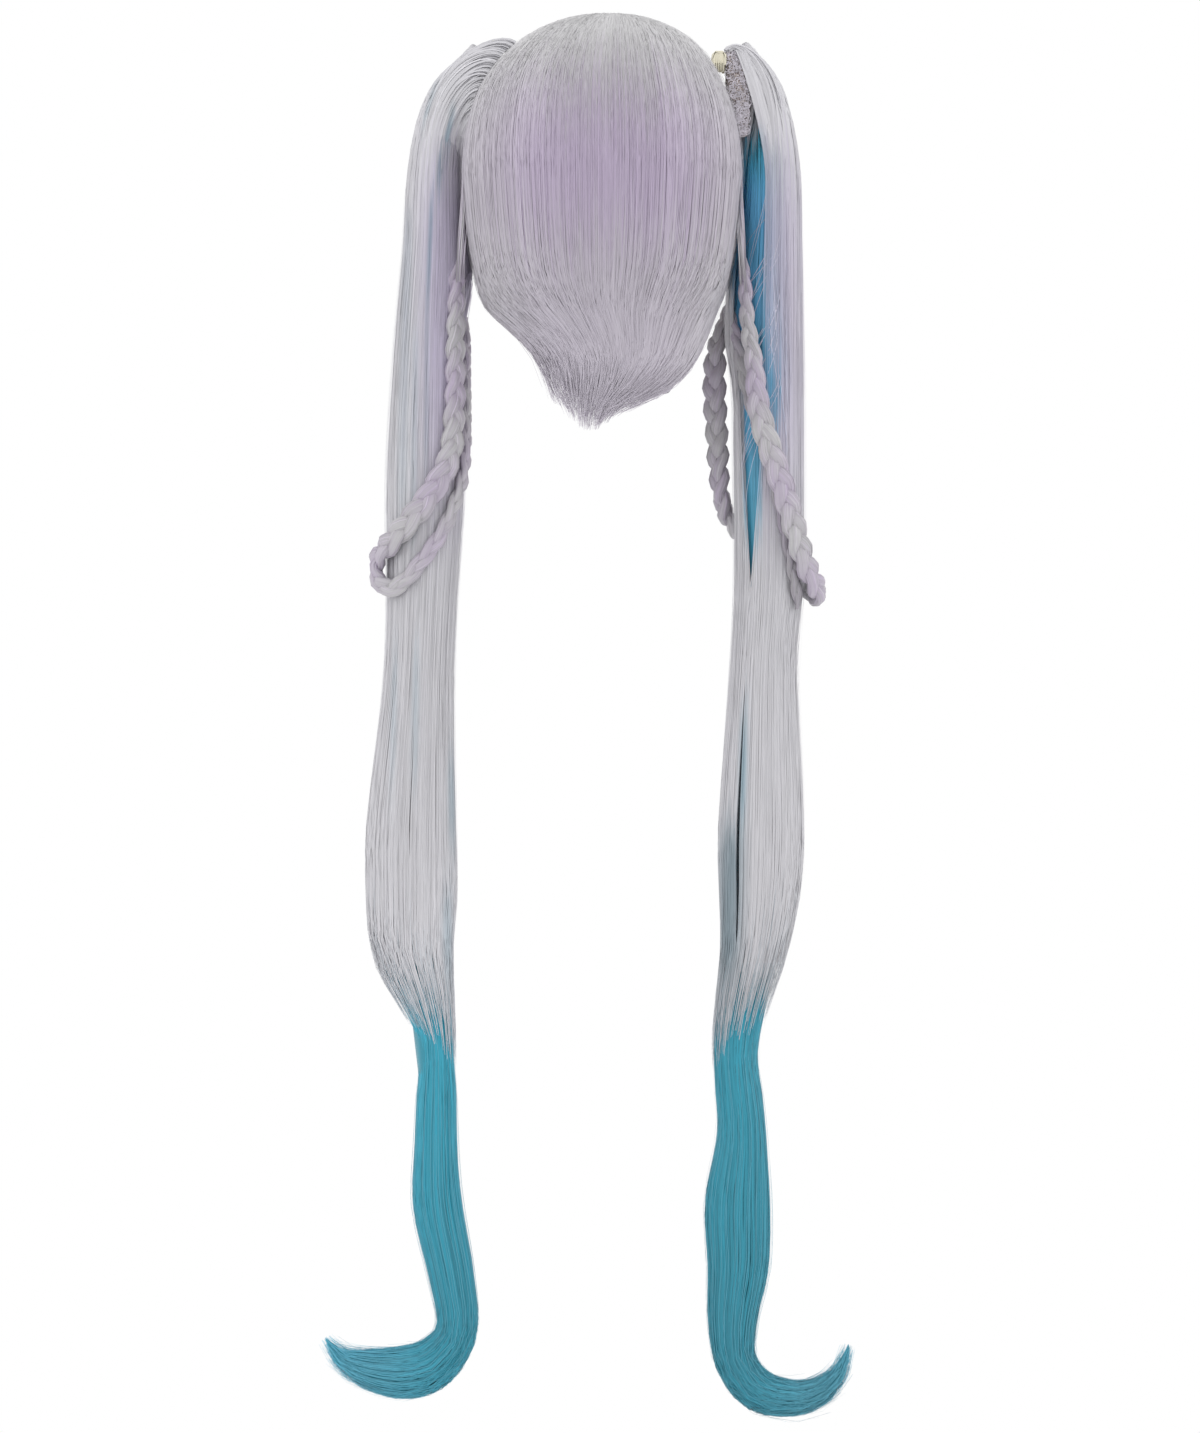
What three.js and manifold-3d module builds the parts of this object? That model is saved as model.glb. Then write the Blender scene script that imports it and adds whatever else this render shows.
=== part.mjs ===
// Pigtail wig: a net cap with head hair, and two very long pigtails held by claw clips, each with a
// blue under-layer and a looped plait. Millimetres, +Z up, +Y towards the wearer's face, and the
// origin at the inner crown of the cap.
import * as THREE from 'three';
import { mergeVertices } from 'three/addons/utils/BufferGeometryUtils.js';
import Module from 'manifold-3d';

const wasm = await Module();
wasm.setup();

// Gaps between pieces
const clearance = 0.4;
const capClearance = 0.7;

// Head form and net cap
const headHalfWidth = 79;
const headHalfDepth = 99;
const crownDrop = 105;
const neckShare = 0.58;
const neckBlend = 60;
const capWall = 1.5;
const capFrontDrop = 55;
const capEarDrop = 115;
const capNapeDrop = 165;

// Head hair over the cap
const hairPile = 16;
const crownPile = 14.5;
const hairWidestDrop = 97;
const napeLength = 169;
const napeShift = 12;
const crownFullness = 2.3;
const hairTipThickness = 3;
const fringeThickness = 6;
const lockCount = 20;
const lockGroove = 1.6;
const lockTipRise = 7;
const partingForward = 9;
const grooveStart = 0.1;
const grooveFull = 0.4;
const tipThinning = 0.7;
const fringeStartTurn = 95;
const fringeFullTurn = 125;

// Pigtails: the silver sheath and the blue core
const tailTopDrop = 2;
const tailLength = 935;
const tailWidth = 48;
const tailDepth = 54;
const tailForward = 15;
const sheathWall = 7;
const sheathTipWall = 1.2;
const sheathWallShare = 0.3;
const sheathTaper = 90;
const sheathSlant = 18;
const slantFade = 60;
const sheathTipRise = 9;
const sheathDrop = 688;
const coreTopDrop = 62;
const coreFade = 25;
const coreClearance = 0.7;
const slitTurn = 235;

// Plaits
const plaitWidth = 17.5;
const plaitThickness = 9.5;
const plaitPitch = 48;
const strandShare = 0.27;
const strandRise = 0.8;
const plaitWaist = 0.2;
const plaitTipSteps = 3;

// Claw clips and the net bases that carry the pigtails
const clipWidth = 10;
const clipHeight = 6.5;
const clipWall = 2;
const clipLength = 44;
const clipGap = 0.6;
const clipTeeth = 5;
const clipToothLength = 3.5;
const clipToothHeight = 3;
const clipShoulder = 0.6;
const clipRidge = 0.5;
const rightWeftThickness = 6;
const leftWeftThickness = 3;
const weftLength = 61;
const weftClearance = 0.9;
const weftDepth = 40;
const weftDrop = 4;
const weftLeastThickness = 2;
const weftChamfer = 2.5;

// Mesh fineness
const headColumns = 2 * lockCount;
const capRows = 8;
const skirtRows = 5;
const arcPoints = 10;
const plaitSides = 8;
const plaitStepsPerPitch = 7.5;
const longStep = 22;
const shortStep = 3;
const weftLevels = 6;
const routeSteps = 40;
const halvings = 40;

// Where each size of the hair comes from the head under it
const hairHalfWidth = headHalfWidth + capWall + hairPile;
const hairHalfDepth = headHalfDepth + capWall + hairPile;
const hairTop = capWall + crownPile;
const hairInset = capWall + capClearance;

// Outer girth of the head hair below its widest level, and how far the nape hair has swept to the
// right, as a share of its full shift
const napeGirth = [
  { down: 0.00, girth: 1.000, shift: 0.00 },
  { down: 0.25, girth: 0.955, shift: 0.00 },
  { down: 0.45, girth: 0.885, shift: 0.00 },
  { down: 0.55, girth: 0.825, shift: 0.05 },
  { down: 0.69, girth: 0.710, shift: 0.70 },
  { down: 0.86, girth: 0.620, shift: 1.00 },
  { down: 1.00, girth: 0.590, shift: 1.00 },
];

// Lower edge of the head hair: turn in degrees from the middle of the back, down as a nape share
const hairEdge = [
  { turn: 0, down: 1.00 },
  { turn: 20, down: 0.98 },
  { turn: 38, down: 0.94 },
  { turn: 49, down: 0.86 },
  { turn: 63, down: 0.70 },
  { turn: 80, down: 0.55 },
  { turn: 95, down: 0.44 },
  { turn: 120, down: 0.19 },
  { turn: 150, down: -0.04 },
  { turn: 180, down: -0.10 },
];

// Edge of the cap, in degrees from the middle of the back
const capEdge = [
  { turn: 0, drop: capNapeDrop },
  { turn: 90, drop: capEarDrop },
  { turn: 180, drop: capFrontDrop },
];

// Sections down each pigtail: down is a share of its length, out is its middle's distance from the
// side of the head hair in tail widths, width and depth are shares of the tail's, and slit is half
// the opening in the sheath in degrees
const rightTail = [
  { down: 0.000, out: 0.03, width: 0.21, depth: 0.45, slit: 4 },
  { down: 0.014, out: 0.21, width: 0.31, depth: 0.60, slit: 4 },
  { down: 0.043, out: 0.40, width: 0.52, depth: 0.80, slit: 4 },
  { down: 0.090, out: 0.44, width: 0.80, depth: 0.92, slit: 26 },
  { down: 0.153, out: 0.43, width: 0.88, depth: 0.98, slit: 28 },
  { down: 0.198, out: 0.41, width: 0.95, depth: 1.00, slit: 28 },
  { down: 0.272, out: 0.40, width: 0.99, depth: 1.00, slit: 26 },
  { down: 0.404, out: 0.40, width: 0.97, depth: 0.95, slit: 5 },
  { down: 0.449, out: 0.33, width: 0.92, depth: 0.92, slit: 5 },
  { down: 0.582, out: 0.29, width: 1.23, depth: 0.92, slit: 7 },
  { down: 0.626, out: 0.27, width: 1.17, depth: 0.88, slit: 7 },
  { down: 0.670, out: 0.19, width: 0.96, depth: 0.80, slit: 5 },
  { down: 0.714, out: 0.00, width: 0.77, depth: 0.70, slit: 4 },
  { down: 0.748, out: -0.08, width: 0.69, depth: 0.66, slit: 4 },
  { down: 0.803, out: 0.01, width: 0.68, depth: 0.62, slit: 4 },
  { down: 0.858, out: -0.05, width: 0.93, depth: 0.56, slit: 4 },
  { down: 0.905, out: -0.04, width: 0.87, depth: 0.52, slit: 4 },
  { down: 0.940, out: -0.12, width: 0.72, depth: 0.48, slit: 4 },
  { down: 0.976, out: -0.08, width: 0.58, depth: 0.42, slit: 4 },
  { down: 0.998, out: 0.27, width: 0.60, depth: 0.38, slit: 4 },
  { down: 1.003, out: 0.80, width: 0.50, depth: 0.34, slit: 4 },
  { down: 0.997, out: 1.16, width: 0.39, depth: 0.28, slit: 4 },
  { down: 0.983, out: 1.43, width: 0.22, depth: 0.18, slit: 4 },
  { down: 0.963, out: 1.56, width: 0.04, depth: 0.04, slit: 4 },
];
const leftTail = [
  { down: 0.001, out: -0.17, width: 0.17, depth: 0.45, slit: 4 },
  { down: 0.014, out: -0.05, width: 0.25, depth: 0.60, slit: 4 },
  { down: 0.043, out: 0.29, width: 0.52, depth: 0.80, slit: 4 },
  { down: 0.090, out: 0.41, width: 0.74, depth: 0.92, slit: 4 },
  { down: 0.153, out: 0.44, width: 0.83, depth: 0.98, slit: 4 },
  { down: 0.198, out: 0.48, width: 0.92, depth: 1.00, slit: 4 },
  { down: 0.272, out: 0.53, width: 1.03, depth: 1.00, slit: 4 },
  { down: 0.331, out: 0.55, width: 1.10, depth: 1.00, slit: 4 },
  { down: 0.404, out: 0.59, width: 0.99, depth: 0.95, slit: 4 },
  { down: 0.470, out: 0.64, width: 0.99, depth: 0.92, slit: 4 },
  { down: 0.582, out: 0.75, width: 1.29, depth: 0.92, slit: 5 },
  { down: 0.626, out: 0.74, width: 1.31, depth: 0.88, slit: 5 },
  { down: 0.670, out: 0.73, width: 1.18, depth: 0.80, slit: 4 },
  { down: 0.707, out: 0.52, width: 0.82, depth: 0.70, slit: 4 },
  { down: 0.737, out: 0.39, width: 0.58, depth: 0.64, slit: 4 },
  { down: 0.814, out: 0.39, width: 0.60, depth: 0.60, slit: 4 },
  { down: 0.858, out: 0.37, width: 0.69, depth: 0.54, slit: 4 },
  { down: 0.914, out: 0.16, width: 0.63, depth: 0.48, slit: 4 },
  { down: 0.954, out: 0.09, width: 0.58, depth: 0.42, slit: 4 },
  { down: 0.978, out: 0.45, width: 0.74, depth: 0.38, slit: 4 },
  { down: 0.984, out: 0.88, width: 0.76, depth: 0.34, slit: 4 },
  { down: 0.980, out: 1.45, width: 0.52, depth: 0.28, slit: 4 },
  { down: 0.972, out: 1.80, width: 0.26, depth: 0.18, slit: 4 },
  { down: 0.958, out: 1.99, width: 0.04, depth: 0.04, slit: 4 },
];

// Routes of the plaits over the pigtails: down is a share of the tail's length, around is the turn
// in degrees from the tail's outer side by way of the face side, lift counts plait thicknesses off
// the tail, size is a share of the full plait, and twist turns it in degrees where it hangs free
const rightLoop = [
  { down: 0.160, around: 222, lift: 0.0, size: 0.62 },
  { down: 0.203, around: 234, lift: 0.1, size: 0.66 },
  { down: 0.235, around: 249, lift: 0.5, size: 0.75 },
  { down: 0.280, around: 260, lift: 0.8, size: 0.95 },
  { down: 0.332, around: 284, lift: 0.7, size: 1.00 },
  { down: 0.381, around: 309, lift: 0.7, size: 1.00 },
  { down: 0.402, around: 338, lift: 0.7, size: 1.00 },
  { down: 0.404, around: 372, lift: 0.4, size: 1.00 },
  { down: 0.385, around: 420, lift: 0.1, size: 1.00 },
  { down: 0.365, around: 470, lift: 0.1, size: 1.00 },
  { down: 0.340, around: 515, lift: 0.6, size: 1.00, twist: 25 },
  { down: 0.290, around: 521, lift: 0.9, size: 1.00, twist: 65 },
  { down: 0.240, around: 522, lift: 1.1, size: 1.00, twist: 65 },
  { down: 0.210, around: 514, lift: 0.9, size: 0.90, twist: 35 },
  { down: 0.165, around: 468, lift: 0.1, size: 0.80 },
];
const rightUnderPlait = [
  { down: 0.195, around: 190, lift: 0.0, size: 0.60 },
  { down: 0.225, around: 215, lift: 0.0, size: 0.62 },
  { down: 0.262, around: 239, lift: 0.0, size: 0.62 },
  { down: 0.310, around: 270, lift: 0.0, size: 0.62 },
  { down: 0.370, around: 298, lift: 0.0, size: 0.62 },
  { down: 0.416, around: 318, lift: 0.0, size: 0.62 },
];
const leftLoop = [
  { down: 0.158, around: 222, lift: 0.0, size: 0.75 },
  { down: 0.196, around: 225, lift: 0.0, size: 0.85 },
  { down: 0.271, around: 227, lift: 0.0, size: 0.95 },
  { down: 0.308, around: 237, lift: 0.0, size: 1.00 },
  { down: 0.342, around: 270, lift: 0.0, size: 1.00 },
  { down: 0.368, around: 310, lift: 0.1, size: 1.00 },
  { down: 0.383, around: 342, lift: 0.4, size: 0.90 },
  { down: 0.397, around: 343, lift: 0.4, size: 0.80 },
  { down: 0.404, around: 318, lift: 0.1, size: 0.75 },
  { down: 0.398, around: 294, lift: 0.0, size: 0.68 },
  { down: 0.384, around: 271, lift: 0.0, size: 0.66 },
  { down: 0.364, around: 245, lift: 0.0, size: 0.64 },
  { down: 0.338, around: 222, lift: 0.0, size: 0.64 },
  { down: 0.313, around: 202, lift: 0.0, size: 0.62 },
  { down: 0.271, around: 182, lift: 0.0, size: 0.60 },
  { down: 0.200, around: 178, lift: 0.0, size: 0.58 },
];

// Colour and roughness of each material
const finishes = {
  net: { color: 0x9a8f8c, roughness: 0.9 },
  silver: { color: 0xbcbabe, roughness: 0.5 },
  lilacSilver: { color: 0xb3acba, roughness: 0.5 },
  blue: { color: 0x3f97ae, roughness: 0.5 },
  plait: { color: 0xb4aeb6, roughness: 0.55 },
  clip: { color: 0xd2ccb4, roughness: 0.35 },
  weft: { color: 0x9a9296, roughness: 0.9 },
};

// Smooth curve through a table's column, read against another column
function columnCurve(rows, key, column) {
  const last = rows.length - 1;
  const slope = (i) => {
    const before = rows[Math.max(i - 1, 0)];
    const after = rows[Math.min(i + 1, last)];
    return (after[column] - before[column]) / (after[key] - before[key]);
  };
  return (value) => {
    const at = THREE.MathUtils.clamp(value, rows[0][key], rows[last][key]);
    let i = 0;
    while (i < last - 1 && at > rows[i + 1][key]) i += 1;
    const span = rows[i + 1][key] - rows[i][key];
    const t = (at - rows[i][key]) / span;
    const start = rows[i][column] * (1 + 2 * t) * (1 - t) ** 2;
    const end = rows[i + 1][column] * t ** 2 * (3 - 2 * t);
    const bend = slope(i) * t * (1 - t) ** 2 - slope(i + 1) * t ** 2 * (1 - t);
    return start + end + bend * span;
  };
}

// Closed geometry from points and triangles, turned so that its faces point outwards
function closedGeometry(points, triangles) {
  let volume = 0;
  const cross = new THREE.Vector3();
  for (const [a, b, c] of triangles) {
    volume += points[a].dot(cross.crossVectors(points[b], points[c]));
  }
  const order = volume < 0 ? triangles.map(([a, b, c]) => [a, c, b]) : triangles;
  const geometry = new THREE.BufferGeometry();
  geometry.setAttribute('position', new THREE.Float32BufferAttribute(points.flatMap((p) => p.toArray()), 3));
  geometry.setIndex(order.flat());
  return geometry;
}

// Loft through rings of equal length, closed at both ends by the flat outlines given
function loft(rings, firstOutline, lastOutline) {
  const size = rings[0].length;
  const points = rings.flat();
  const triangles = [];
  for (let j = 0; j + 1 < rings.length; j += 1) {
    for (let i = 0; i < size; i += 1) {
      const a = j * size + i;
      const b = j * size + (i + 1) % size;
      triangles.push([a, b, b + size], [a, b + size, a + size]);
    }
  }
  const lastStart = (rings.length - 1) * size;
  const firstFaces = THREE.ShapeUtils.triangulateShape(firstOutline, []);
  const lastFaces = THREE.ShapeUtils.triangulateShape(lastOutline, []);
  const turned = THREE.ShapeUtils.isClockWise(firstOutline);
  const lastTurned = THREE.ShapeUtils.isClockWise(lastOutline);
  for (const [a, b, c] of firstFaces) triangles.push(turned ? [a, b, c] : [a, c, b]);
  for (const face of lastFaces) {
    const [a, b, c] = face.map((k) => k + lastStart);
    triangles.push(lastTurned ? [a, c, b] : [a, b, c]);
  }
  return closedGeometry(points, triangles);
}

// Open-bottomed shell round the Z axis between two surfaces of turn and share of the way down
function domeShell(outerPoint, innerPoint, rows) {
  const points = [outerPoint(0, 0), innerPoint(0, 0)];
  for (const surface of [outerPoint, innerPoint]) {
    for (let j = 1; j <= rows; j += 1) {
      for (let i = 0; i < headColumns; i += 1) {
        points.push(surface((i / headColumns) * 360, j / rows));
      }
    }
  }
  const index = (layer, j, i) => 2 + (layer * rows + j - 1) * headColumns + (i % headColumns);
  const triangles = [];
  for (let i = 0; i < headColumns; i += 1) {
    triangles.push([0, index(0, 1, i), index(0, 1, i + 1)]);
    triangles.push([1, index(1, 1, i + 1), index(1, 1, i)]);
    for (let j = 1; j < rows; j += 1) {
      const [a, b, c, d] = [index(0, j, i), index(0, j + 1, i), index(0, j + 1, i + 1), index(0, j, i + 1)];
      triangles.push([a, b, c], [a, c, d]);
      const [e, f, g, h] = [index(1, j, i), index(1, j + 1, i), index(1, j + 1, i + 1), index(1, j, i + 1)];
      triangles.push([e, g, f], [e, h, g]);
    }
    const [a, b, c, d] = [index(0, rows, i), index(0, rows, i + 1), index(1, rows, i + 1), index(1, rows, i)];
    triangles.push([a, d, c], [a, c, b]);
  }
  return closedGeometry(points, triangles);
}

// Geometry and solid, back and forth, for the few cuts and joins
function toSolid(source) {
  const bare = source.clone();
  bare.deleteAttribute('normal');
  bare.deleteAttribute('uv');
  const merged = mergeVertices(bare);
  return new wasm.Manifold(new wasm.Mesh({
    numProp: 3,
    vertProperties: new Float32Array(merged.attributes.position.array),
    triVerts: new Uint32Array(merged.index.array),
  }));
}

function toGeometry(solid) {
  const mesh = solid.getMesh();
  const geometry = new THREE.BufferGeometry();
  geometry.setAttribute('position', new THREE.Float32BufferAttribute(mesh.vertProperties, 3));
  geometry.setIndex(Array.from(mesh.triVerts));
  return geometry;
}

// Turn from the middle of the back, 0 to 180 degrees on either side
function fromBack(turn) {
  return Math.min(turn, 360 - turn);
}

// Point on an oval round the Z axis, with the turn counted from the middle of the back
function ovalPoint(turn, halfWidth, halfDepth, z) {
  const angle = THREE.MathUtils.degToRad(turn);
  return new THREE.Vector3(Math.sin(angle) * halfWidth, -Math.cos(angle) * halfDepth, z);
}

// Height at a share of the way from a crown to an edge, with short steps near the crown
function heightDown(top, edge, share) {
  return top - (top - edge) * (1 - Math.cos(share * Math.PI / 2));
}

// Girth of the head form, as a share of its widest, at a height and a distance off its surface
function headGirth(z, offset) {
  const rise = (z + crownDrop) / (crownDrop + offset);
  const skull = Math.sqrt(Math.max(0, 1 - rise * rise));
  const neck = neckShare * THREE.MathUtils.clamp((-crownDrop - z) / neckBlend, 0, 1);
  return (skull ** 4 + neck ** 4) ** 0.25;
}

function headPoint(turn, z, offset) {
  const girth = headGirth(z, offset);
  return ovalPoint(turn, girth * (headHalfWidth + offset), girth * (headHalfDepth + offset), z);
}

const hairRows = capRows + skirtRows;
const capEdgeDrop = columnCurve(capEdge, 'turn', 'drop');
const napeGirthAt = columnCurve(napeGirth, 'down', 'girth');
const napeShiftAt = columnCurve(napeGirth, 'down', 'shift');
const hairEdgeDown = columnCurve(hairEdge, 'turn', 'down');

// Girth of the head hair as a share of its widest, at a height
function hairGirth(z) {
  if (z < -hairWidestDrop) return napeGirthAt((-hairWidestDrop - z) / napeLength);
  const rise = Math.min((z + hairWidestDrop) / (hairTop + hairWidestDrop), 1);
  return (1 - rise ** crownFullness) ** (1 / crownFullness);
}

function capShell() {
  const surface = (offset) => (turn, share) => {
    const edge = -capEdgeDrop(fromBack(turn));
    return headPoint(turn, heightDown(offset, edge, share), offset);
  };
  return domeShell(surface(capWall), surface(0), capRows);
}

// Depth of the groove between two locks at a turn: 0 on a lock's ridge, 1 between two locks
function grooveAt(turn) {
  return 0.5 - 0.5 * Math.cos(THREE.MathUtils.degToRad(turn * lockCount));
}

function hairEdgeHeight(turn) {
  return -hairWidestDrop - hairEdgeDown(fromBack(turn)) * napeLength + grooveAt(turn) * lockTipRise;
}

// Oval of the head hair's own girth at a height, drawn in by a depth and swept over at the nape
function hairOval(turn, z, inward) {
  const girth = hairGirth(z);
  const oval = ovalPoint(turn, girth * hairHalfWidth - inward, girth * hairHalfDepth - inward, z);
  oval.x += napeShift * napeShiftAt((-hairWidestDrop - z) / napeLength);
  return oval;
}

// Height down the head hair: the cap's own levels first, then even steps from its edge to the tips
function hairHeight(top, turn, share) {
  const capEnd = -capEdgeDrop(fromBack(turn));
  const skirtShare = (share * hairRows - capRows) / skirtRows;
  if (skirtShare <= 0) return heightDown(top, capEnd, share * hairRows / capRows);
  return THREE.MathUtils.lerp(capEnd, hairEdgeHeight(turn), skirtShare);
}

function hairInnerPoint(turn, share) {
  const z = hairHeight(hairInset, turn, share);
  const onHead = headPoint(turn, z, hairInset);
  if (z > -crownDrop) return onHead;
  const nearTip = THREE.MathUtils.smoothstep(share, tipThinning, 1);
  const pile = THREE.MathUtils.lerp(hairPile, hairTipThickness, nearTip);
  const inHair = hairOval(turn, z, pile);
  return Math.hypot(inHair.x, inHair.y) > Math.hypot(onHead.x, onHead.y) ? inHair : onHead;
}

function hairOuterPoint(turn, share) {
  const z = hairHeight(hairTop, turn, share);
  const groove = lockGroove * grooveAt(turn) * THREE.MathUtils.smoothstep(share, grooveStart, grooveFull);
  const outer = hairOval(turn, z, groove);
  const frontShare = THREE.MathUtils.smoothstep(fromBack(turn), fringeStartTurn, fringeFullTurn);
  const nearEdge = THREE.MathUtils.smoothstep(share, tipThinning, 1);
  const thin = frontShare * nearEdge * (1 - fringeThickness / hairPile);
  return outer.lerp(headPoint(turn, z, hairInset), thin);
}

// The head hair is one form, parted from ear to ear into the back hair and the plain front hair
function partedHair() {
  const whole = toSolid(domeShell(hairOuterPoint, hairInnerPoint, hairRows));
  const reach = 4 * (hairWidestDrop + napeLength);
  const half = (side) => {
    const box = new THREE.BoxGeometry(reach, reach, reach);
    box.translate(0, partingForward + side * (reach + clearance) / 2, 0);
    return toGeometry(whole.intersect(toSolid(box)));
  };
  return { back: half(-1), front: half(1) };
}

// One pigtail's shape: its middle, width, depth and slit against the length along it
function tailShape(table) {
  const rows = table.map((row) => ({
    out: hairHalfWidth + row.out * tailWidth,
    z: -tailTopDrop - row.down * tailLength,
    width: row.width * tailWidth,
    depth: row.depth * tailDepth,
    slit: row.slit,
    along: 0,
  }));
  for (let i = 1; i < rows.length; i += 1) {
    const step = Math.hypot(rows[i].out - rows[i - 1].out, rows[i].z - rows[i - 1].z);
    rows[i].along = rows[i - 1].along + step;
  }
  const curve = (column) => columnCurve(rows, 'along', column);
  return {
    rows,
    length: rows[rows.length - 1].along,
    out: curve('out'),
    z: curve('z'),
    width: curve('width'),
    depth: curve('depth'),
    slit: curve('slit'),
  };
}

// Length along a pigtail at which it reaches a height, above its curl
function alongAtHeight(tail, z) {
  const lowest = tail.rows.reduce((least, row) => (row.z < least.z ? row : least));
  let low = 0;
  let high = lowest.along;
  for (let i = 0; i < halvings; i += 1) {
    const middle = (low + high) / 2;
    if (tail.z(middle) > z) low = middle;
    else high = middle;
  }
  return (low + high) / 2;
}

// Middle of a pigtail and the directions across and along it; x is the distance out from the head
function tailFrame(tail, along) {
  const step = 0.5;
  const before = Math.max(along - step, 0);
  const after = Math.min(along + step, tail.length);
  const heading = new THREE.Vector3(tail.out(after) - tail.out(before), 0, tail.z(after) - tail.z(before));
  heading.normalize();
  const forward = new THREE.Vector3(0, 1, 0);
  return {
    middle: new THREE.Vector3(tail.out(along), tailForward, tail.z(along)),
    across: new THREE.Vector3().crossVectors(heading, forward),
    forward,
  };
}

function placeOn(frame, x, y) {
  return frame.middle.clone().addScaledVector(frame.across, x).addScaledVector(frame.forward, y);
}

// Angles of a section's points, from one side of the slit round to the other
function arcAngles(slit) {
  const angles = [];
  for (let i = 0; i < arcPoints; i += 1) {
    angles.push(THREE.MathUtils.degToRad(slitTurn + slit + (360 - 2 * slit) * i / (arcPoints - 1)));
  }
  return angles;
}

function wallAt(along, sheathEnd) {
  const share = THREE.MathUtils.smoothstep(along, sheathEnd - sheathTaper, sheathEnd);
  return THREE.MathUtils.lerp(sheathWall, sheathTipWall, share);
}

// Wall of the sheath, never more than a share of a thin section
function sectionWall(tail, along, sheathEnd) {
  return Math.min(wallAt(along, sheathEnd), sheathWallShare * Math.min(tail.width(along), tail.depth(along)));
}

// Stations along a tail at its table's rows and half-way down its long steps, within two ends
function stations(tail, start, end) {
  const steps = tail.rows.slice(1).map((row, i) => [tail.rows[i].along, row.along]);
  const middles = steps.filter(([from, to]) => to - from > longStep).map(([from, to]) => (from + to) / 2);
  const inside = [...tail.rows.map((row) => row.along), ...middles]
    .filter((along) => along > start + shortStep && along < end - shortStep)
    .sort((a, b) => a - b);
  return [start, ...inside, end];
}

// How far ahead of its station a point of a section lies: the sheath's end slants to the inner side
function slantAhead(along, sheathEnd, angle) {
  const rising = THREE.MathUtils.smoothstep(along, sheathEnd - sheathTaper, sheathEnd);
  const fading = 1 - THREE.MathUtils.smoothstep(along, sheathEnd, sheathEnd + slantFade);
  return -sheathSlant * rising * fading * Math.cos(angle);
}

// Point of a tail's surface, or under it by an inset that is worked out where the point lies
function tailPoint(tail, along, angle, insetAt) {
  const inset = insetAt(along);
  const x = (tail.width(along) / 2 - inset) * Math.cos(angle);
  const y = (tail.depth(along) / 2 - inset) * Math.sin(angle);
  return { flat: new THREE.Vector2(x, y), placed: placeOn(tailFrame(tail, along), x, y) };
}

function sheathGeometry(tail, side) {
  const sheathEnd = alongAtHeight(tail, -sheathDrop);
  const rings = [];
  const outlines = [];
  for (const along of stations(tail, 0, sheathEnd)) {
    const tip = along === sheathEnd ? sheathTipRise : 0;
    const angles = arcAngles(tail.slit(along));
    const arc = (insetAt) => angles.map((angle, i) => {
      const ahead = slantAhead(along, sheathEnd, angle) - tip * (i % 2);
      return tailPoint(tail, along + ahead, angle, insetAt);
    });
    const wallThere = (at) => sectionWall(tail, at, sheathEnd);
    const section = [...arc(() => 0), ...arc(wallThere).toReversed()];
    rings.push(section.map((point) => point.placed));
    outlines.push(section.map((point) => point.flat));
  }
  return loft(mirrored(rings, side), outlines[0], outlines[outlines.length - 1]);
}

// Blue hair inside the sheath, which comes out below it and curls outwards
function coreGeometry(tail, side) {
  const sheathEnd = alongAtHeight(tail, -sheathDrop);
  const start = alongAtHeight(tail, -coreTopDrop);
  const rings = [];
  const outlines = [];
  const bareFrom = sheathEnd + sheathSlant;
  const insetAt = (at) => {
    const covered = 1 - THREE.MathUtils.smoothstep(at, bareFrom, bareFrom + coreFade);
    return covered * (sectionWall(tail, at, sheathEnd) + coreClearance);
  };
  const inSheath = stations(tail, 0, sheathEnd).filter((along) => along > start + shortStep);
  const below = stations(tail, sheathEnd, tail.length).slice(1);
  for (const along of [start, ...inSheath, ...below]) {
    const section = arcAngles(tail.slit(along)).toReversed().map((angle) => (
      tailPoint(tail, along + slantAhead(along, sheathEnd, angle), angle, insetAt)));
    outlines.push(section.map((point) => point.flat));
    rings.push(section.map((point) => point.placed));
  }
  return loft(mirrored(rings, side), outlines[0], outlines[outlines.length - 1]);
}

function mirrored(rings, side) {
  return rings.map((ring) => ring.map((point) => new THREE.Vector3(side * point.x, point.y, point.z)));
}

// Outline of a three-strand plait at a phase: the far edge of its strands in each direction
function plaitOutline(phase, width, thickness) {
  const strand = strandShare * width;
  const centres = [0, 1, 2].map((k) => {
    const turn = phase + k * 2 * Math.PI / 3;
    const x = (width / 2 - strand) * Math.sin(turn);
    const y = (thickness / 2 - strandRise * strand) * Math.sin(2 * turn);
    return new THREE.Vector2(x, y);
  });
  const outline = [];
  for (let i = 0; i < plaitSides; i += 1) {
    const ray = new THREE.Vector2(1, 0).rotateAround(new THREE.Vector2(), i * 2 * Math.PI / plaitSides);
    let reach = plaitWaist * width;
    for (const centre of centres) {
      const ahead = centre.dot(ray);
      const inside = strand * strand - centre.lengthSq() + ahead * ahead;
      if (inside > 0) reach = Math.max(reach, ahead + Math.sqrt(inside));
    }
    const upright = Math.abs(ray.y);
    const flat = reach * upright > thickness / 2 ? thickness / 2 / upright : reach;
    outline.push(ray.multiplyScalar(flat));
  }
  return outline;
}

// Middle of a plait over the tail's surface, with the surface's normal there
function plaitPlace(tail, row) {
  const along = alongAtHeight(tail, -tailTopDrop - row.down * tailLength);
  const frame = tailFrame(tail, along);
  const angle = THREE.MathUtils.degToRad(row.around);
  const halfWidth = tail.width(along) / 2;
  const halfDepth = tail.depth(along) / 2;
  const normal = new THREE.Vector3()
    .addScaledVector(frame.across, Math.cos(angle) / halfWidth)
    .addScaledVector(frame.forward, Math.sin(angle) / halfDepth)
    .normalize();
  const off = clearance + (row.size / 2 + row.lift) * plaitThickness;
  const middle = placeOn(frame, halfWidth * Math.cos(angle), halfDepth * Math.sin(angle));
  return { middle: middle.addScaledVector(normal, off), normal, size: row.size };
}

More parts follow.
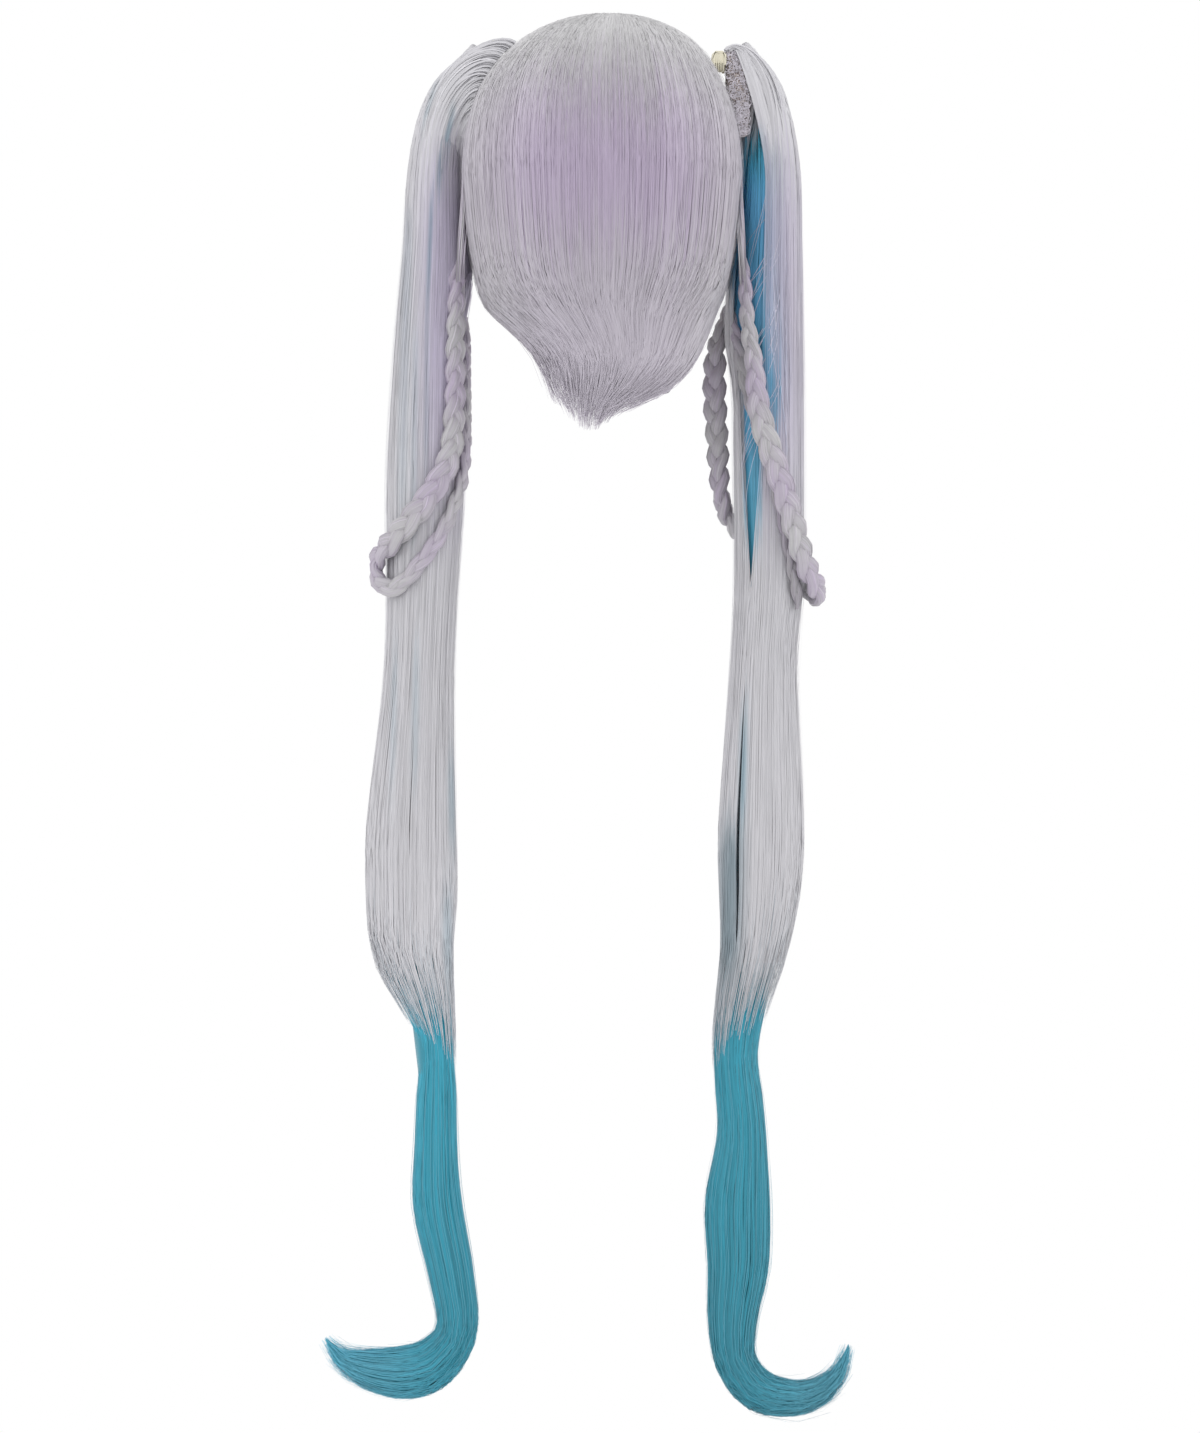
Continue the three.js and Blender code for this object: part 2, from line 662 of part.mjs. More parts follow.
function plaitGeometry(tail, route, side) {
  const rows = route.map((row, i) => ({ twist: 0, ...row, order: i }));
  const columns = ['down', 'around', 'lift', 'size', 'twist'];
  const curves = columns.map((name) => columnCurve(rows, 'order', name));
  const fine = routeSteps * (rows.length - 1);
  const places = [];
  for (let i = 0; i <= fine; i += 1) {
    const [down, around, lift, size, twist] = curves.map((curve) => curve(i * (rows.length - 1) / fine));
    places.push({ ...plaitPlace(tail, { down, around, lift, size }), twist });
  }
  const lengths = [0];
  for (let i = 1; i <= fine; i += 1) {
    lengths.push(lengths[i - 1] + places[i].middle.distanceTo(places[i - 1].middle));
  }
  const total = lengths[fine];
  const steps = Math.round(total / plaitPitch * plaitStepsPerPitch);
  const rings = [];
  const outlines = [];
  for (let k = 0; k <= steps; k += 1) {
    const target = total * k / steps;
    let i = 1;
    while (i < fine - 1 && lengths[i] < target) i += 1;
    const place = places[i];
    const heading = new THREE.Vector3().subVectors(places[i + 1].middle, places[i - 1].middle);
    heading.addScaledVector(place.normal, -heading.dot(place.normal)).normalize();
    const turn = THREE.MathUtils.degToRad(place.twist);
    const normal = place.normal.clone().applyAxisAngle(heading, turn);
    const across = new THREE.Vector3().crossVectors(heading, normal);
    const end = Math.min(1, (Math.min(k, steps - k) + 1) / plaitTipSteps);
    const width = plaitWidth * place.size * end;
    const outline = plaitOutline(2 * Math.PI * target / plaitPitch, width, plaitThickness * place.size * end);
    outlines.push(outline);
    rings.push(outline.map((point) => place.middle.clone()
      .addScaledVector(across, point.x)
      .addScaledVector(normal, point.y)));
  }
  return loft(mirrored(rings, side), outlines[0], outlines[outlines.length - 1]);
}

// Where the clip stands: its inner edge just over the head hair beside the tail's top
function clipPlace(tail, weftThickness) {
  const outerEdge = tail.out(0) - tail.width(0) / 2 - weftClearance - weftThickness - clearance;
  const innerEdge = outerEdge - clipWidth;
  const girth = innerEdge / hairHalfWidth;
  const rise = (1 - girth ** crownFullness) ** (1 / crownFullness);
  const floor = -hairWidestDrop + rise * (hairTop + hairWidestDrop) + clipGap;
  return { innerEdge, outerEdge, floor };
}

// Claw clip: a channel with a comb of teeth along both lower edges
function clipGeometry(tail, weftThickness, side) {
  const { innerEdge, outerEdge, floor } = clipPlace(tail, weftThickness);
  const base = floor + clipToothHeight;
  const half = clipWidth / 2;
  const channel = new THREE.Shape();
  channel.moveTo(-half, 0);
  channel.lineTo(-half, clipHeight * clipShoulder);
  channel.lineTo(-half * clipRidge, clipHeight);
  channel.lineTo(half * clipRidge, clipHeight);
  channel.lineTo(half, clipHeight * clipShoulder);
  channel.lineTo(half, 0);
  channel.lineTo(half - clipWall, 0);
  channel.lineTo(half - clipWall, clipHeight - clipWall);
  channel.lineTo(clipWall - half, clipHeight - clipWall);
  channel.lineTo(clipWall - half, 0);
  channel.closePath();
  const bar = new THREE.ExtrudeGeometry(channel, { depth: clipLength, bevelEnabled: false });
  bar.rotateX(Math.PI / 2);
  bar.translate((innerEdge + outerEdge) / 2, tailForward + clipLength / 2, base);
  let solid = toSolid(bar);
  const pitch = (clipLength - clipToothLength) / (clipTeeth - 1);
  for (let i = 0; i < clipTeeth; i += 1) {
    for (const edge of [innerEdge + clipWall / 2, outerEdge - clipWall / 2]) {
      const tooth = new THREE.BoxGeometry(clipWall, clipToothLength, clipToothHeight + clipWall);
      const y = tailForward - clipLength / 2 + clipToothLength / 2 + i * pitch;
      tooth.translate(edge, y, base - clipToothHeight / 2 + clipWall / 2);
      solid = solid.add(toSolid(tooth));
    }
  }
  const geometry = toGeometry(solid);
  if (side > 0) return geometry;
  geometry.scale(-1, 1, 1);
  const faces = Array.from(geometry.index.array);
  for (let i = 0; i < faces.length; i += 3) [faces[i + 1], faces[i + 2]] = [faces[i + 2], faces[i + 1]];
  geometry.setIndex(faces);
  return geometry;
}

// Net base of a pigtail: a slab between the clip and head hair on one side and the tail on the other
function weftGeometry(tail, weftThickness, side) {
  const clip = clipPlace(tail, weftThickness);
  const rings = [];
  const outlines = [];
  for (let j = 0; j <= weftLevels; j += 1) {
    const z = -tailTopDrop - weftDrop - weftLength * j / weftLevels;
    const along = alongAtHeight(tail, z);
    const outer = tail.out(along) - tail.width(along) / 2 - weftClearance;
    const onHair = hairHalfWidth * hairGirth(z) + weftClearance;
    const inner = Math.min(Math.max(clip.outerEdge + clearance, onHair), outer - weftLeastThickness);
    const half = (outer - inner) / 2;
    const chamfer = Math.min(weftChamfer, half / 2);
    const depth = weftDepth / 2;
    const outline = [
      [half, depth - chamfer], [half - chamfer, depth], [chamfer - half, depth], [-half, depth - chamfer],
      [-half, chamfer - depth], [chamfer - half, -depth], [half - chamfer, -depth], [half, chamfer - depth],
    ].map(([x, y]) => new THREE.Vector2(x, y));
    outlines.push(outline);
    const middle = (outer + inner) / 2;
    rings.push(outline.map((point) => new THREE.Vector3(middle + point.x, tailForward + point.y, z)));
  }
  return loft(mirrored(rings, side), outlines[0], outlines[outlines.length - 1]);
}

function piece(name, geometry, finish) {
  geometry.computeVertexNormals();
  const material = new THREE.MeshStandardMaterial({ ...finish, metalness: 0 });
  const mesh = new THREE.Mesh(geometry, material);
  mesh.name = name;
  return mesh;
}

// Assembly
const wig = new THREE.Group();
wig.name = 'pigtail_wig';
const hair = partedHair();
wig.add(piece('net_cap', capShell(), finishes.net));
wig.add(piece('back_hair', hair.back, finishes.lilacSilver));
wig.add(piece('front_hair', hair.front, finishes.silver));

const sides = [
  { name: 'right', side: 1, table: rightTail, loop: rightLoop, weft: rightWeftThickness },
  { name: 'left', side: -1, table: leftTail, loop: leftLoop, weft: leftWeftThickness },
];
for (const { name, side, table, loop, weft } of sides) {
  const tail = tailShape(table);
  const bunch = new THREE.Group();
  bunch.add(piece(`claw_clip_${name}`, clipGeometry(tail, weft, side), finishes.clip));
  bunch.add(piece(`weft_base_${name}`, weftGeometry(tail, weft, side), finishes.weft));
  bunch.add(piece(`pigtail_silver_${name}`, sheathGeometry(tail, side), finishes.silver));
  bunch.add(piece(`pigtail_blue_${name}`, coreGeometry(tail, side), finishes.blue));
  bunch.add(piece(`plait_${name}`, plaitGeometry(tail, loop, side), finishes.plait));
  if (name === 'right') {
    bunch.add(piece('under_plait_right', plaitGeometry(tail, rightUnderPlait, side), finishes.plait));
  }
  wig.add(bunch);
}

export default wig;
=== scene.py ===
"""Pigtail wig: combed head hair on a net cap, two long pigtails with a blue under-layer, and plaits.

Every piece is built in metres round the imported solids. Strands are short-sided tubes that are modelled
once and laid along combed routes, so the hair reads as fibre from every side.
"""

import math

import bpy
import numpy as np
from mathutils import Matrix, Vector


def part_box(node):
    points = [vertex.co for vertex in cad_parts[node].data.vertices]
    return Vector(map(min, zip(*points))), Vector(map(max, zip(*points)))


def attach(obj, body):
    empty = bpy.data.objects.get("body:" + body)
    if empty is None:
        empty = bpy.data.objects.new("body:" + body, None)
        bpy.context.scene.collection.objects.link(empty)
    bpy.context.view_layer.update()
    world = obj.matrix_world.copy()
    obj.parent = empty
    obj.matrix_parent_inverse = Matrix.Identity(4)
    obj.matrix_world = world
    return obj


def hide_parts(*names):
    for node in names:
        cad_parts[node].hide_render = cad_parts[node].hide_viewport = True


bl_info = {
    "name": "Pigtail Wig",
    "version": (1, 0, 0),
    "blender": (4, 5, 0),
    "location": "View3D > Sidebar > Pigtail Wig",
    "description": "Dresses a pigtail wig with combed strands, plaits, clips, net bases and a net cap",
    "category": "Add Mesh",
}

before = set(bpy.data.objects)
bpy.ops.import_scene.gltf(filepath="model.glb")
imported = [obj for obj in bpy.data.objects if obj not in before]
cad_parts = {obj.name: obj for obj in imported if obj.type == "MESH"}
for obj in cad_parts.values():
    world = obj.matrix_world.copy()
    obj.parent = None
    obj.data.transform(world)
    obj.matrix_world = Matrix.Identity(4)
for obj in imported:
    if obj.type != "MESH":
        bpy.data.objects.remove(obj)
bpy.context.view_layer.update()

MM = 0.001

# Head hair, read from its solid
BACK_LOW, BACK_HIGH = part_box("back_hair")
HAIR_HALF_WIDTH = BACK_HIGH.x
HAIR_HALF_DEPTH = -BACK_LOW.y
HAIR_TOP = BACK_HIGH.z
WIDEST_DROP = 97 * MM
NAPE_LENGTH = -BACK_LOW.z - WIDEST_DROP
NAPE_SHIFT = 12 * MM
CROWN_FULLNESS = 2.3

# Turn that the back hair reaches beside the ears, and at the nape
BACK_TURN = 97
NAPE_TURN = 27

# Pigtails
TAIL_TOP_DROP = 2 * MM
TAIL_LENGTH = 935 * MM
TAIL_WIDTH = 48 * MM
TAIL_DEPTH = 54 * MM
TAIL_FORWARD = 15 * MM
SHEATH_DROP = 688 * MM
SHEATH_SLANT = 18 * MM
SHEATH_TAPER = 90 * MM
SHEATH_WALL = 7 * MM
SHEATH_TIP_WALL = 1.2 * MM
SLIT_TURN = 235
CORE_TOP_DROP = 62 * MM
FORM_RADIUS = 25 * MM

# Most that a pigtail's inner side swells towards the head, and the drop at which it leaves the head
INNER_SWELL = 7.5 * MM
INNER_SWELL_TOP = 48 * MM
INNER_SWELL_END = {"right": 205 * MM, "left": 168 * MM}

# Plaits
PLAIT_WIDTH = 17.5 * MM
PLAIT_THICKNESS = 9.5 * MM
PLAIT_PITCH = 48 * MM

# Claw clips: wall of the channel, teeth of the comb, and how each tooth is drawn down: length and the
# share of its width that it keeps
CLIP_WALL = 1.2 * MM
TOOTH_COUNT = 6
TOOTH_WIDTH = 0.7 * MM
TOOTH_PITCH = 1.25 * MM
TOOTH_STEPS = [(1.8 * MM, 0.9), (1.8 * MM, 0.75), (1.2 * MM, 0.5)]

# Fine fibre texture on every strand
FIBRE_PITCH = 0.35 * MM
FIBRE_RUN = 30 * MM

# Strands and loose hairs, besides the two counts among the sizes that a user would change
FRONT_STRANDS = 750
HEAD_FLYAWAYS = 150
CREST_STRANDS = {"right": 260, "left": 405}
SILVER_FLYAWAYS = 110
BLUE_STRANDS = 500
SLIT_STRANDS = 170
SLIT_FLYAWAYS = 34
BLUE_FLYAWAYS = 45
NET_STUBS = 420
PLAIT_ROOT_HAIRS = 60

# Studio: floor, soft lights with their place, size and power, and the point that they aim at
FLOOR_RADIUS = 1.5
STUDIO_LIGHTS = [
    ("softbox_top", (0, 0.1, 1.9), 2.4, 12),
    ("softbox_left", (-2.2, -0.9, 0.1), 1.6, 7),
    ("softbox_right", (2.2, -0.9, 0.1), 1.6, 7),
]
LIGHT_AIM = (0, 0, -0.45)

# Camera level behind the wig, and the height that its picture covers there
CAMERA_DISTANCE = 3.0
CAMERA_PLACE = (-1.4 * MM, -CAMERA_DISTANCE, -467 * MM)
SENSOR_WIDTH = 36
PICTURE_HEIGHT = 0.98877

# Outer girth of the head hair and its sweep to the right, below its widest level
NAPE_ROWS = [
    (0.00, 1.000, 0.00),
    (0.25, 0.955, 0.00),
    (0.45, 0.885, 0.00),
    (0.55, 0.825, 0.05),
    (0.69, 0.710, 0.70),
    (0.86, 0.620, 1.00),
    (1.00, 0.590, 1.00),
]

# Lower edge of the head hair: degrees from the middle of the back, share of the nape length
EDGE_ROWS = [
    (0, 1.00),
    (20, 0.98),
    (38, 0.94),
    (49, 0.86),
    (63, 0.70),
    (80, 0.55),
    (95, 0.44),
    (120, 0.19),
    (150, -0.04),
    (180, -0.10),
]

# Sections down each pigtail: share of its length, distance out in tail widths, width, depth, and
# half the opening in the silver layer in degrees
RIGHT_TAIL_ROWS = [
    (0.000, 0.03, 0.21, 0.45, 4),
    (0.014, 0.21, 0.31, 0.60, 4),
    (0.043, 0.40, 0.52, 0.80, 4),
    (0.090, 0.44, 0.80, 0.92, 26),
    (0.153, 0.43, 0.88, 0.98, 28),
    (0.198, 0.41, 0.95, 1.00, 28),
    (0.272, 0.40, 0.99, 1.00, 26),
    (0.404, 0.40, 0.97, 0.95, 5),
    (0.449, 0.33, 0.92, 0.92, 5),
    (0.582, 0.29, 1.23, 0.92, 7),
    (0.626, 0.27, 1.17, 0.88, 7),
    (0.670, 0.19, 0.96, 0.80, 5),
    (0.714, 0.00, 0.77, 0.70, 4),
    (0.748, -0.08, 0.69, 0.66, 4),
    (0.803, 0.01, 0.68, 0.62, 4),
    (0.858, -0.05, 0.93, 0.56, 4),
    (0.905, -0.04, 0.87, 0.52, 4),
    (0.940, -0.12, 0.72, 0.48, 4),
    (0.976, -0.08, 0.58, 0.42, 4),
    (0.998, 0.27, 0.60, 0.38, 4),
    (1.003, 0.80, 0.50, 0.34, 4),
    (0.997, 1.16, 0.39, 0.28, 4),
    (0.983, 1.43, 0.22, 0.18, 4),
    (0.963, 1.56, 0.04, 0.04, 4),
]
LEFT_TAIL_ROWS = [
    (0.001, -0.17, 0.17, 0.45, 4),
    (0.014, -0.05, 0.25, 0.60, 4),
    (0.043, 0.29, 0.52, 0.80, 4),
    (0.090, 0.41, 0.74, 0.92, 4),
    (0.153, 0.44, 0.83, 0.98, 4),
    (0.198, 0.48, 0.92, 1.00, 4),
    (0.272, 0.53, 1.03, 1.00, 4),
    (0.331, 0.55, 1.10, 1.00, 4),
    (0.404, 0.59, 0.99, 0.95, 4),
    (0.470, 0.64, 0.99, 0.92, 4),
    (0.582, 0.75, 1.29, 0.92, 5),
    (0.626, 0.74, 1.31, 0.88, 5),
    (0.670, 0.73, 1.18, 0.80, 4),
    (0.707, 0.52, 0.82, 0.70, 4),
    (0.737, 0.39, 0.58, 0.64, 4),
    (0.814, 0.39, 0.60, 0.60, 4),
    (0.858, 0.37, 0.69, 0.54, 4),
    (0.914, 0.16, 0.63, 0.48, 4),
    (0.954, 0.09, 0.58, 0.42, 4),
    (0.978, 0.45, 0.74, 0.38, 4),
    (0.984, 0.88, 0.76, 0.34, 4),
    (0.980, 1.45, 0.52, 0.28, 4),
    (0.972, 1.80, 0.26, 0.18, 4),
    (0.958, 1.99, 0.04, 0.04, 4),
]

# Routes of the plaits over the pigtails: share of the tail's length, degrees round it from its outer
# side by way of the face side, plait thicknesses off it, size, and twist in degrees
RIGHT_LOOP_ROWS = [
    (0.160, 222, 0.0, 0.62, 0),
    (0.203, 234, 0.1, 0.66, 0),
    (0.235, 249, 0.5, 0.75, 0),
    (0.280, 260, 0.8, 0.95, 0),
    (0.332, 284, 0.7, 1.00, 0),
    (0.381, 309, 0.7, 1.00, 0),
    (0.402, 338, 0.7, 1.00, 0),
    (0.404, 372, 0.4, 1.00, 0),
    (0.385, 420, 0.1, 1.00, 0),
    (0.365, 470, 0.1, 1.00, 0),
    (0.340, 515, 0.6, 1.00, 25),
    (0.290, 521, 0.9, 1.00, 65),
    (0.240, 522, 1.1, 1.00, 65),
    (0.210, 514, 0.9, 0.90, 35),
    (0.165, 468, 0.1, 0.80, 0),
]
RIGHT_UNDER_ROWS = [
    (0.195, 190, 0.0, 0.60, 0),
    (0.225, 215, 0.0, 0.62, 0),
    (0.262, 239, 0.0, 0.62, 0),
    (0.310, 270, 0.0, 0.62, 0),
    (0.370, 298, 0.0, 0.62, 0),
    (0.416, 318, 0.0, 0.62, 0),
]
LEFT_LOOP_ROWS = [
    (0.158, 222, 0.0, 0.75, 0),
    (0.196, 225, 0.0, 0.85, 0),
    (0.271, 227, 0.0, 0.95, 0),
    (0.308, 237, 0.0, 1.00, 0),
    (0.342, 270, 0.0, 1.00, 0),
    (0.368, 310, 0.1, 1.00, 0),
    (0.383, 342, 0.4, 0.90, 0),
    (0.397, 343, 0.4, 0.80, 0),
    (0.404, 318, 0.1, 0.75, 0),
    (0.398, 294, 0.0, 0.68, 0),
    (0.384, 271, 0.0, 0.66, 0),
    (0.364, 245, 0.0, 0.64, 0),
    (0.338, 222, 0.0, 0.64, 0),
    (0.313, 202, 0.0, 0.62, 0),
    (0.271, 182, 0.0, 0.60, 0),
    (0.200, 178, 0.0, 0.58, 0),
]

# Brightness of the head hair against its drop in millimetres, which is painted light and shade: brightest at
# the crown under the top light, darker over the middle, and lighter again towards the nape
HEAD_PAINTED_LIGHT_DROPS = [-16, 0, 20, 90, 180, 240, 270]
HEAD_PAINTED_LIGHT = [0.86, 0.82, 0.74, 0.75, 0.77, 0.86, 0.88]

# Brightness down a pigtail's blue tip: share of the tail's length, share of the plain colour
TIP_SHADE_PLACES = [0.68, 0.80, 0.90, 0.95, 1.0]
TIP_SHADES = [1.12, 1.02, 0.86, 1.20, 1.65]

# Blue zone of the right pigtail: drop in millimetres, and the turn in degrees where it starts and ends
BLUE_ZONE_ROWS = [
    (60, 205, 215),
    (66, 150, 228),
    (98, 150, 250),
    (145, 180, 255),
    (170, 212, 257),
    (194, 236, 263),
    (233, 254, 277),
    (260, 272, 287),
    (275, 280, 285),
]

# Coloured streaks down the pigtails: x and z of their upper and lower end in millimetres, half their
# width, how blue they are and how much darker
LEFT_STREAKS = [
    (-116, -34, -124, -61, 1.8, 0.32, 0.20),
    (-103, -53, -117, -112, 1.8, 0.45, 0.25),
    (-117, -112, -120, -185, 1.8, 0.40, 0.22),
    (-120, -185, -121, -300, 2.5, 0.18, 0.08),
    (-134, -120, -138, -330, 5.0, 0.14, 0.00),
    (-128, -200, -130, -350, 3.0, 0.16, 0.00),
    (-143, -421, -144, -518, 2.5, 0.20, 0.00),
    (-128, -421, -129, -518, 3.0, 0.20, 0.00),
    (-104, -500, -103, -560, 3.0, 0.32, 0.10),
    (-107, -590, -106, -660, 4.0, 0.28, 0.05),
]
RIGHT_STREAKS = [
    (106, -66, 110, -215, 6.0, 0.55, 0.00),
    (114, -80, 120, -260, 12.0, 0.26, 0.14),
    (98, -470, 96, -545, 3.0, 0.50, 0.10),
    # Its darkening of 0.40 is painted shade along the pigtail's inner edge, over teal hair
    (90, -545, 86, -655, 9.0, 0.42, 0.40),
]


def hex_to_linear(code):
    """Linear red, green and blue of an sRGB hex colour"""
    channels = [int(code[i:i + 2], 16) / 255 for i in (1, 3, 5)]
    return tuple(c / 12.92 if c <= 0.04045 else ((c + 0.055) / 1.055) ** 2.4 for c in channels)


def smooth_step(values, low, high):
    """0 below low, 1 above high and smooth between"""
    t = np.clip((np.asarray(values, float) - low) / (high - low), 0, 1)
    return t * t * (3 - 2 * t)


def curve_through(keys, values):
    """Smooth curve through a table's column, as a function of arrays"""
    keys = np.asarray(keys, float)
    values = np.asarray(values, float)
    order = np.arange(len(keys))
    before = np.maximum(order - 1, 0)
    after = np.minimum(order + 1, len(keys) - 1)
    slopes = (values[after] - values[before]) / (keys[after] - keys[before])

    def at(places):
        places = np.clip(places, keys[0], keys[-1])
        i = np.clip(np.searchsorted(keys, places, side="right") - 1, 0, len(keys) - 2)
        span = keys[i + 1] - keys[i]
        t = (places - keys[i]) / span
        ends = values[i] * (1 + 2 * t) * (1 - t) ** 2 + values[i + 1] * t ** 2 * (3 - 2 * t)
        return ends + (slopes[i] * t * (1 - t) ** 2 - slopes[i + 1] * t ** 2 * (1 - t)) * span

    return at


def unit(vectors):
    """Vectors along the last axis, at length 1"""
    return vectors / np.maximum(np.linalg.norm(vectors, axis=-1, keepdims=True), 1e-12)


def slow_noise(rng, count, sections, waves=3):
    """Smooth wander along each strand, about -1 to 1"""
    share = np.linspace(0, 1, sections)[None, :]
    total = np.zeros((count, sections))
    for wave in range(1, waves + 1):
        phase = rng.uniform(0, 2 * math.pi, (count, 1))
        total += np.sin(2 * math.pi * wave * share * rng.uniform(0.6, 1.2, (count, 1)) + phase) / wave
    return total / 1.8


def evenly(rng, low, high, count):
    """Random values spread evenly between two limits, as a column"""
    return low + (high - low) * (np.arange(count)[:, None] + rng.uniform(0, 1, (count, 1))) / count


nape_girth = curve_through([row[0] for row in NAPE_ROWS], [row[1] for row in NAPE_ROWS])
nape_sweep = curve_through([row[0] for row in NAPE_ROWS], [row[2] for row in NAPE_ROWS])
edge_share = curve_through([row[0] for row in EDGE_ROWS], [row[1] for row in EDGE_ROWS])


def head_point(turn, z):
    """Point of the head hair's outer surface: turn in degrees from the middle of the back"""
    below = np.clip((-WIDEST_DROP - z) / NAPE_LENGTH, 0, 1.2)
    rise = np.clip((z + WIDEST_DROP) / (HAIR_TOP + WIDEST_DROP), 0, 1)
    above = (1 - rise ** CROWN_FULLNESS) ** (1 / CROWN_FULLNESS)
    girth = np.where(z < -WIDEST_DROP, nape_girth(below), above)
    angle = np.radians(turn)
    x = np.sin(angle) * girth * HAIR_HALF_WIDTH + NAPE_SHIFT * nape_sweep(below)
    y = -np.cos(angle) * girth * HAIR_HALF_DEPTH
    return np.stack([x, y, z + 0 * x], axis=-1)


def head_outward(turn, z):
    """Unit normal of the head hair's surface"""
    around = head_point(turn + 1, z) - head_point(turn - 1, z)
    down = head_point(turn, z - 1 * MM) - head_point(turn, np.minimum(z + 1 * MM, HAIR_TOP))
    return unit(np.cross(down, around))


def head_edge(turn):
    """Height of the head hair's lower edge at a turn"""
    return -WIDEST_DROP - edge_share(np.abs(turn)) * NAPE_LENGTH


def make_back_reach():
    """Turn that the back hair reaches on either side, against height, with its corners rounded"""
    levels = np.linspace(-WIDEST_DROP - NAPE_LENGTH, 0, 300)
    turns = np.linspace(0, 180, 361)
    reach = np.minimum(np.interp(levels, head_edge(turns), turns), BACK_TURN)
    half = 10
    window = np.ones(2 * half + 1) / (2 * half + 1)
    smooth = np.convolve(np.pad(reach, half, mode="edge"), window, mode="valid")
    return lambda z: np.interp(z, levels, np.maximum(smooth, NAPE_TURN))


back_reach = make_back_reach()


class Tail:
    """Middle line, width, depth and slit of one pigtail against the length along it"""

    def __init__(self, side, rows):
        down, out, width, depth, slit = (np.array(column, float) for column in zip(*rows))
        x = HAIR_HALF_WIDTH + out * TAIL_WIDTH
        z = -TAIL_TOP_DROP - down * TAIL_LENGTH
        along = np.concatenate([[0], np.cumsum(np.hypot(np.diff(x), np.diff(z)))])
        self.side = side
        self.length = along[-1]
        self.x = curve_through(along, x)
        self.z = curve_through(along, z)
        self.width = curve_through(along, width * TAIL_WIDTH)
        self.depth = curve_through(along, depth * TAIL_DEPTH)
        self.slit = curve_through(along, slit)
        self.fine = np.linspace(0, along[int(np.argmin(z))], 2000)
        self.sheath_end = float(self.along_at(-SHEATH_DROP))

    def along_at(self, z):
        """Length along the tail at which it reaches a height, above its curl"""
        heights = self.z(self.fine)
        return np.interp(-np.asarray(z, float), -heights, self.fine)

    def frame(self, along):
        """Middle of the tail and its direction across, both for the right-hand side"""
        step = 0.5 * MM
        after = np.minimum(along + step, self.length)
        before = np.maximum(along - step, 0)
        dx = self.x(after) - self.x(before)
        dz = self.z(after) - self.z(before)
        size = np.hypot(dx, dz)
        middle = np.stack([self.x(along), np.full_like(along, TAIL_FORWARD), self.z(along)], axis=-1)
        across = np.stack([-dz / size, np.zeros_like(along), dx / size], axis=-1)
        return middle, across

    def surface(self, along, angle, off):
        """Point and unit normal at a distance off the tail's surface, on its own side of the head"""
        middle, across = self.frame(along)
        forward = np.array([0.0, 1.0, 0.0])
        cosine, sine = np.cos(angle)[..., None], np.sin(angle)[..., None]
        half_width = (self.width(along) / 2)[..., None]
        half_depth = (self.depth(along) / 2)[..., None]
        outward = unit(across * cosine / half_width + forward * sine / half_depth)
        room = np.minimum(half_width, half_depth)
        off = np.maximum(off[..., None], -0.8 * room)
        place = middle + across * half_width * cosine + forward * half_depth * sine + outward * off
        flip = np.array([self.side, 1.0, 1.0])
        return place * flip, outward * flip

    def wall(self, along):
        """Thickness of the silver layer over the blue hair"""
        share = smooth_step(along, self.sheath_end - SHEATH_TAPER, self.sheath_end)
        wall = SHEATH_WALL + (SHEATH_TIP_WALL - SHEATH_WALL) * share
        return np.minimum(wall, 0.3 * np.minimum(self.width(along), self.depth(along)))


TAILS = {"right": Tail(1, RIGHT_TAIL_ROWS), "left": Tail(-1, LEFT_TAIL_ROWS)}


def deselect_all():
    """Leaves nothing selected, also not the solids of the frame"""
    if bpy.context.object and bpy.context.object.mode != "OBJECT":
        bpy.ops.object.mode_set(mode="OBJECT")
    bpy.ops.object.select_all(action="DESELECT")


def select_only(piece):
    """Leaves one piece selected and active"""
    deselect_all()
    piece.select_set(True)
    bpy.context.view_layer.objects.active = piece


def set_attribute(mesh, name, values):
    """Float or vector attribute on a mesh's points"""
    kind = "FLOAT" if values.ndim == 1 else "FLOAT_VECTOR"
    attribute = mesh.attributes.new(name, kind, "POINT")
    attribute.data.foreach_set("value" if kind == "FLOAT" else "vector", values.astype(np.float32).ravel())


STRAND_MODELS = {}


def strand_model(sections, sides):
    """Points, face corners, face sizes and inner corners of one straight strand, modelled once a size"""
    if (sections, sides) in STRAND_MODELS:
        return STRAND_MODELS[sections, sides]
    deselect_all()
    bpy.ops.mesh.primitive_circle_add(vertices=sides, radius=0.5, fill_type="NGON")
    strand = bpy.context.object
    bpy.ops.object.mode_set(mode="EDIT")
    bpy.ops.mesh.select_all(action="SELECT")
    for _ in range(sections - 1):
        bpy.ops.mesh.extrude_region_move(TRANSFORM_OT_translate={"value": (0, 0, 1)})
    bpy.ops.mesh.select_all(action="SELECT")
    bpy.ops.mesh.normals_make_consistent(inside=False)
    bpy.ops.object.mode_set(mode="OBJECT")
    points = np.array([v.co for v in strand.data.vertices])
    corners = np.array([i for p in strand.data.polygons for i in p.vertices])
    sizes = np.array([len(p.vertices) for p in strand.data.polygons])
    under = np.array([p.center.y < -0.05 for p in strand.data.polygons for _ in p.vertices])
    mesh = strand.data
    bpy.data.objects.remove(strand)
    bpy.data.meshes.remove(mesh)
    STRAND_MODELS[sections, sides] = points, corners, sizes, under
    return STRAND_MODELS[sections, sides]


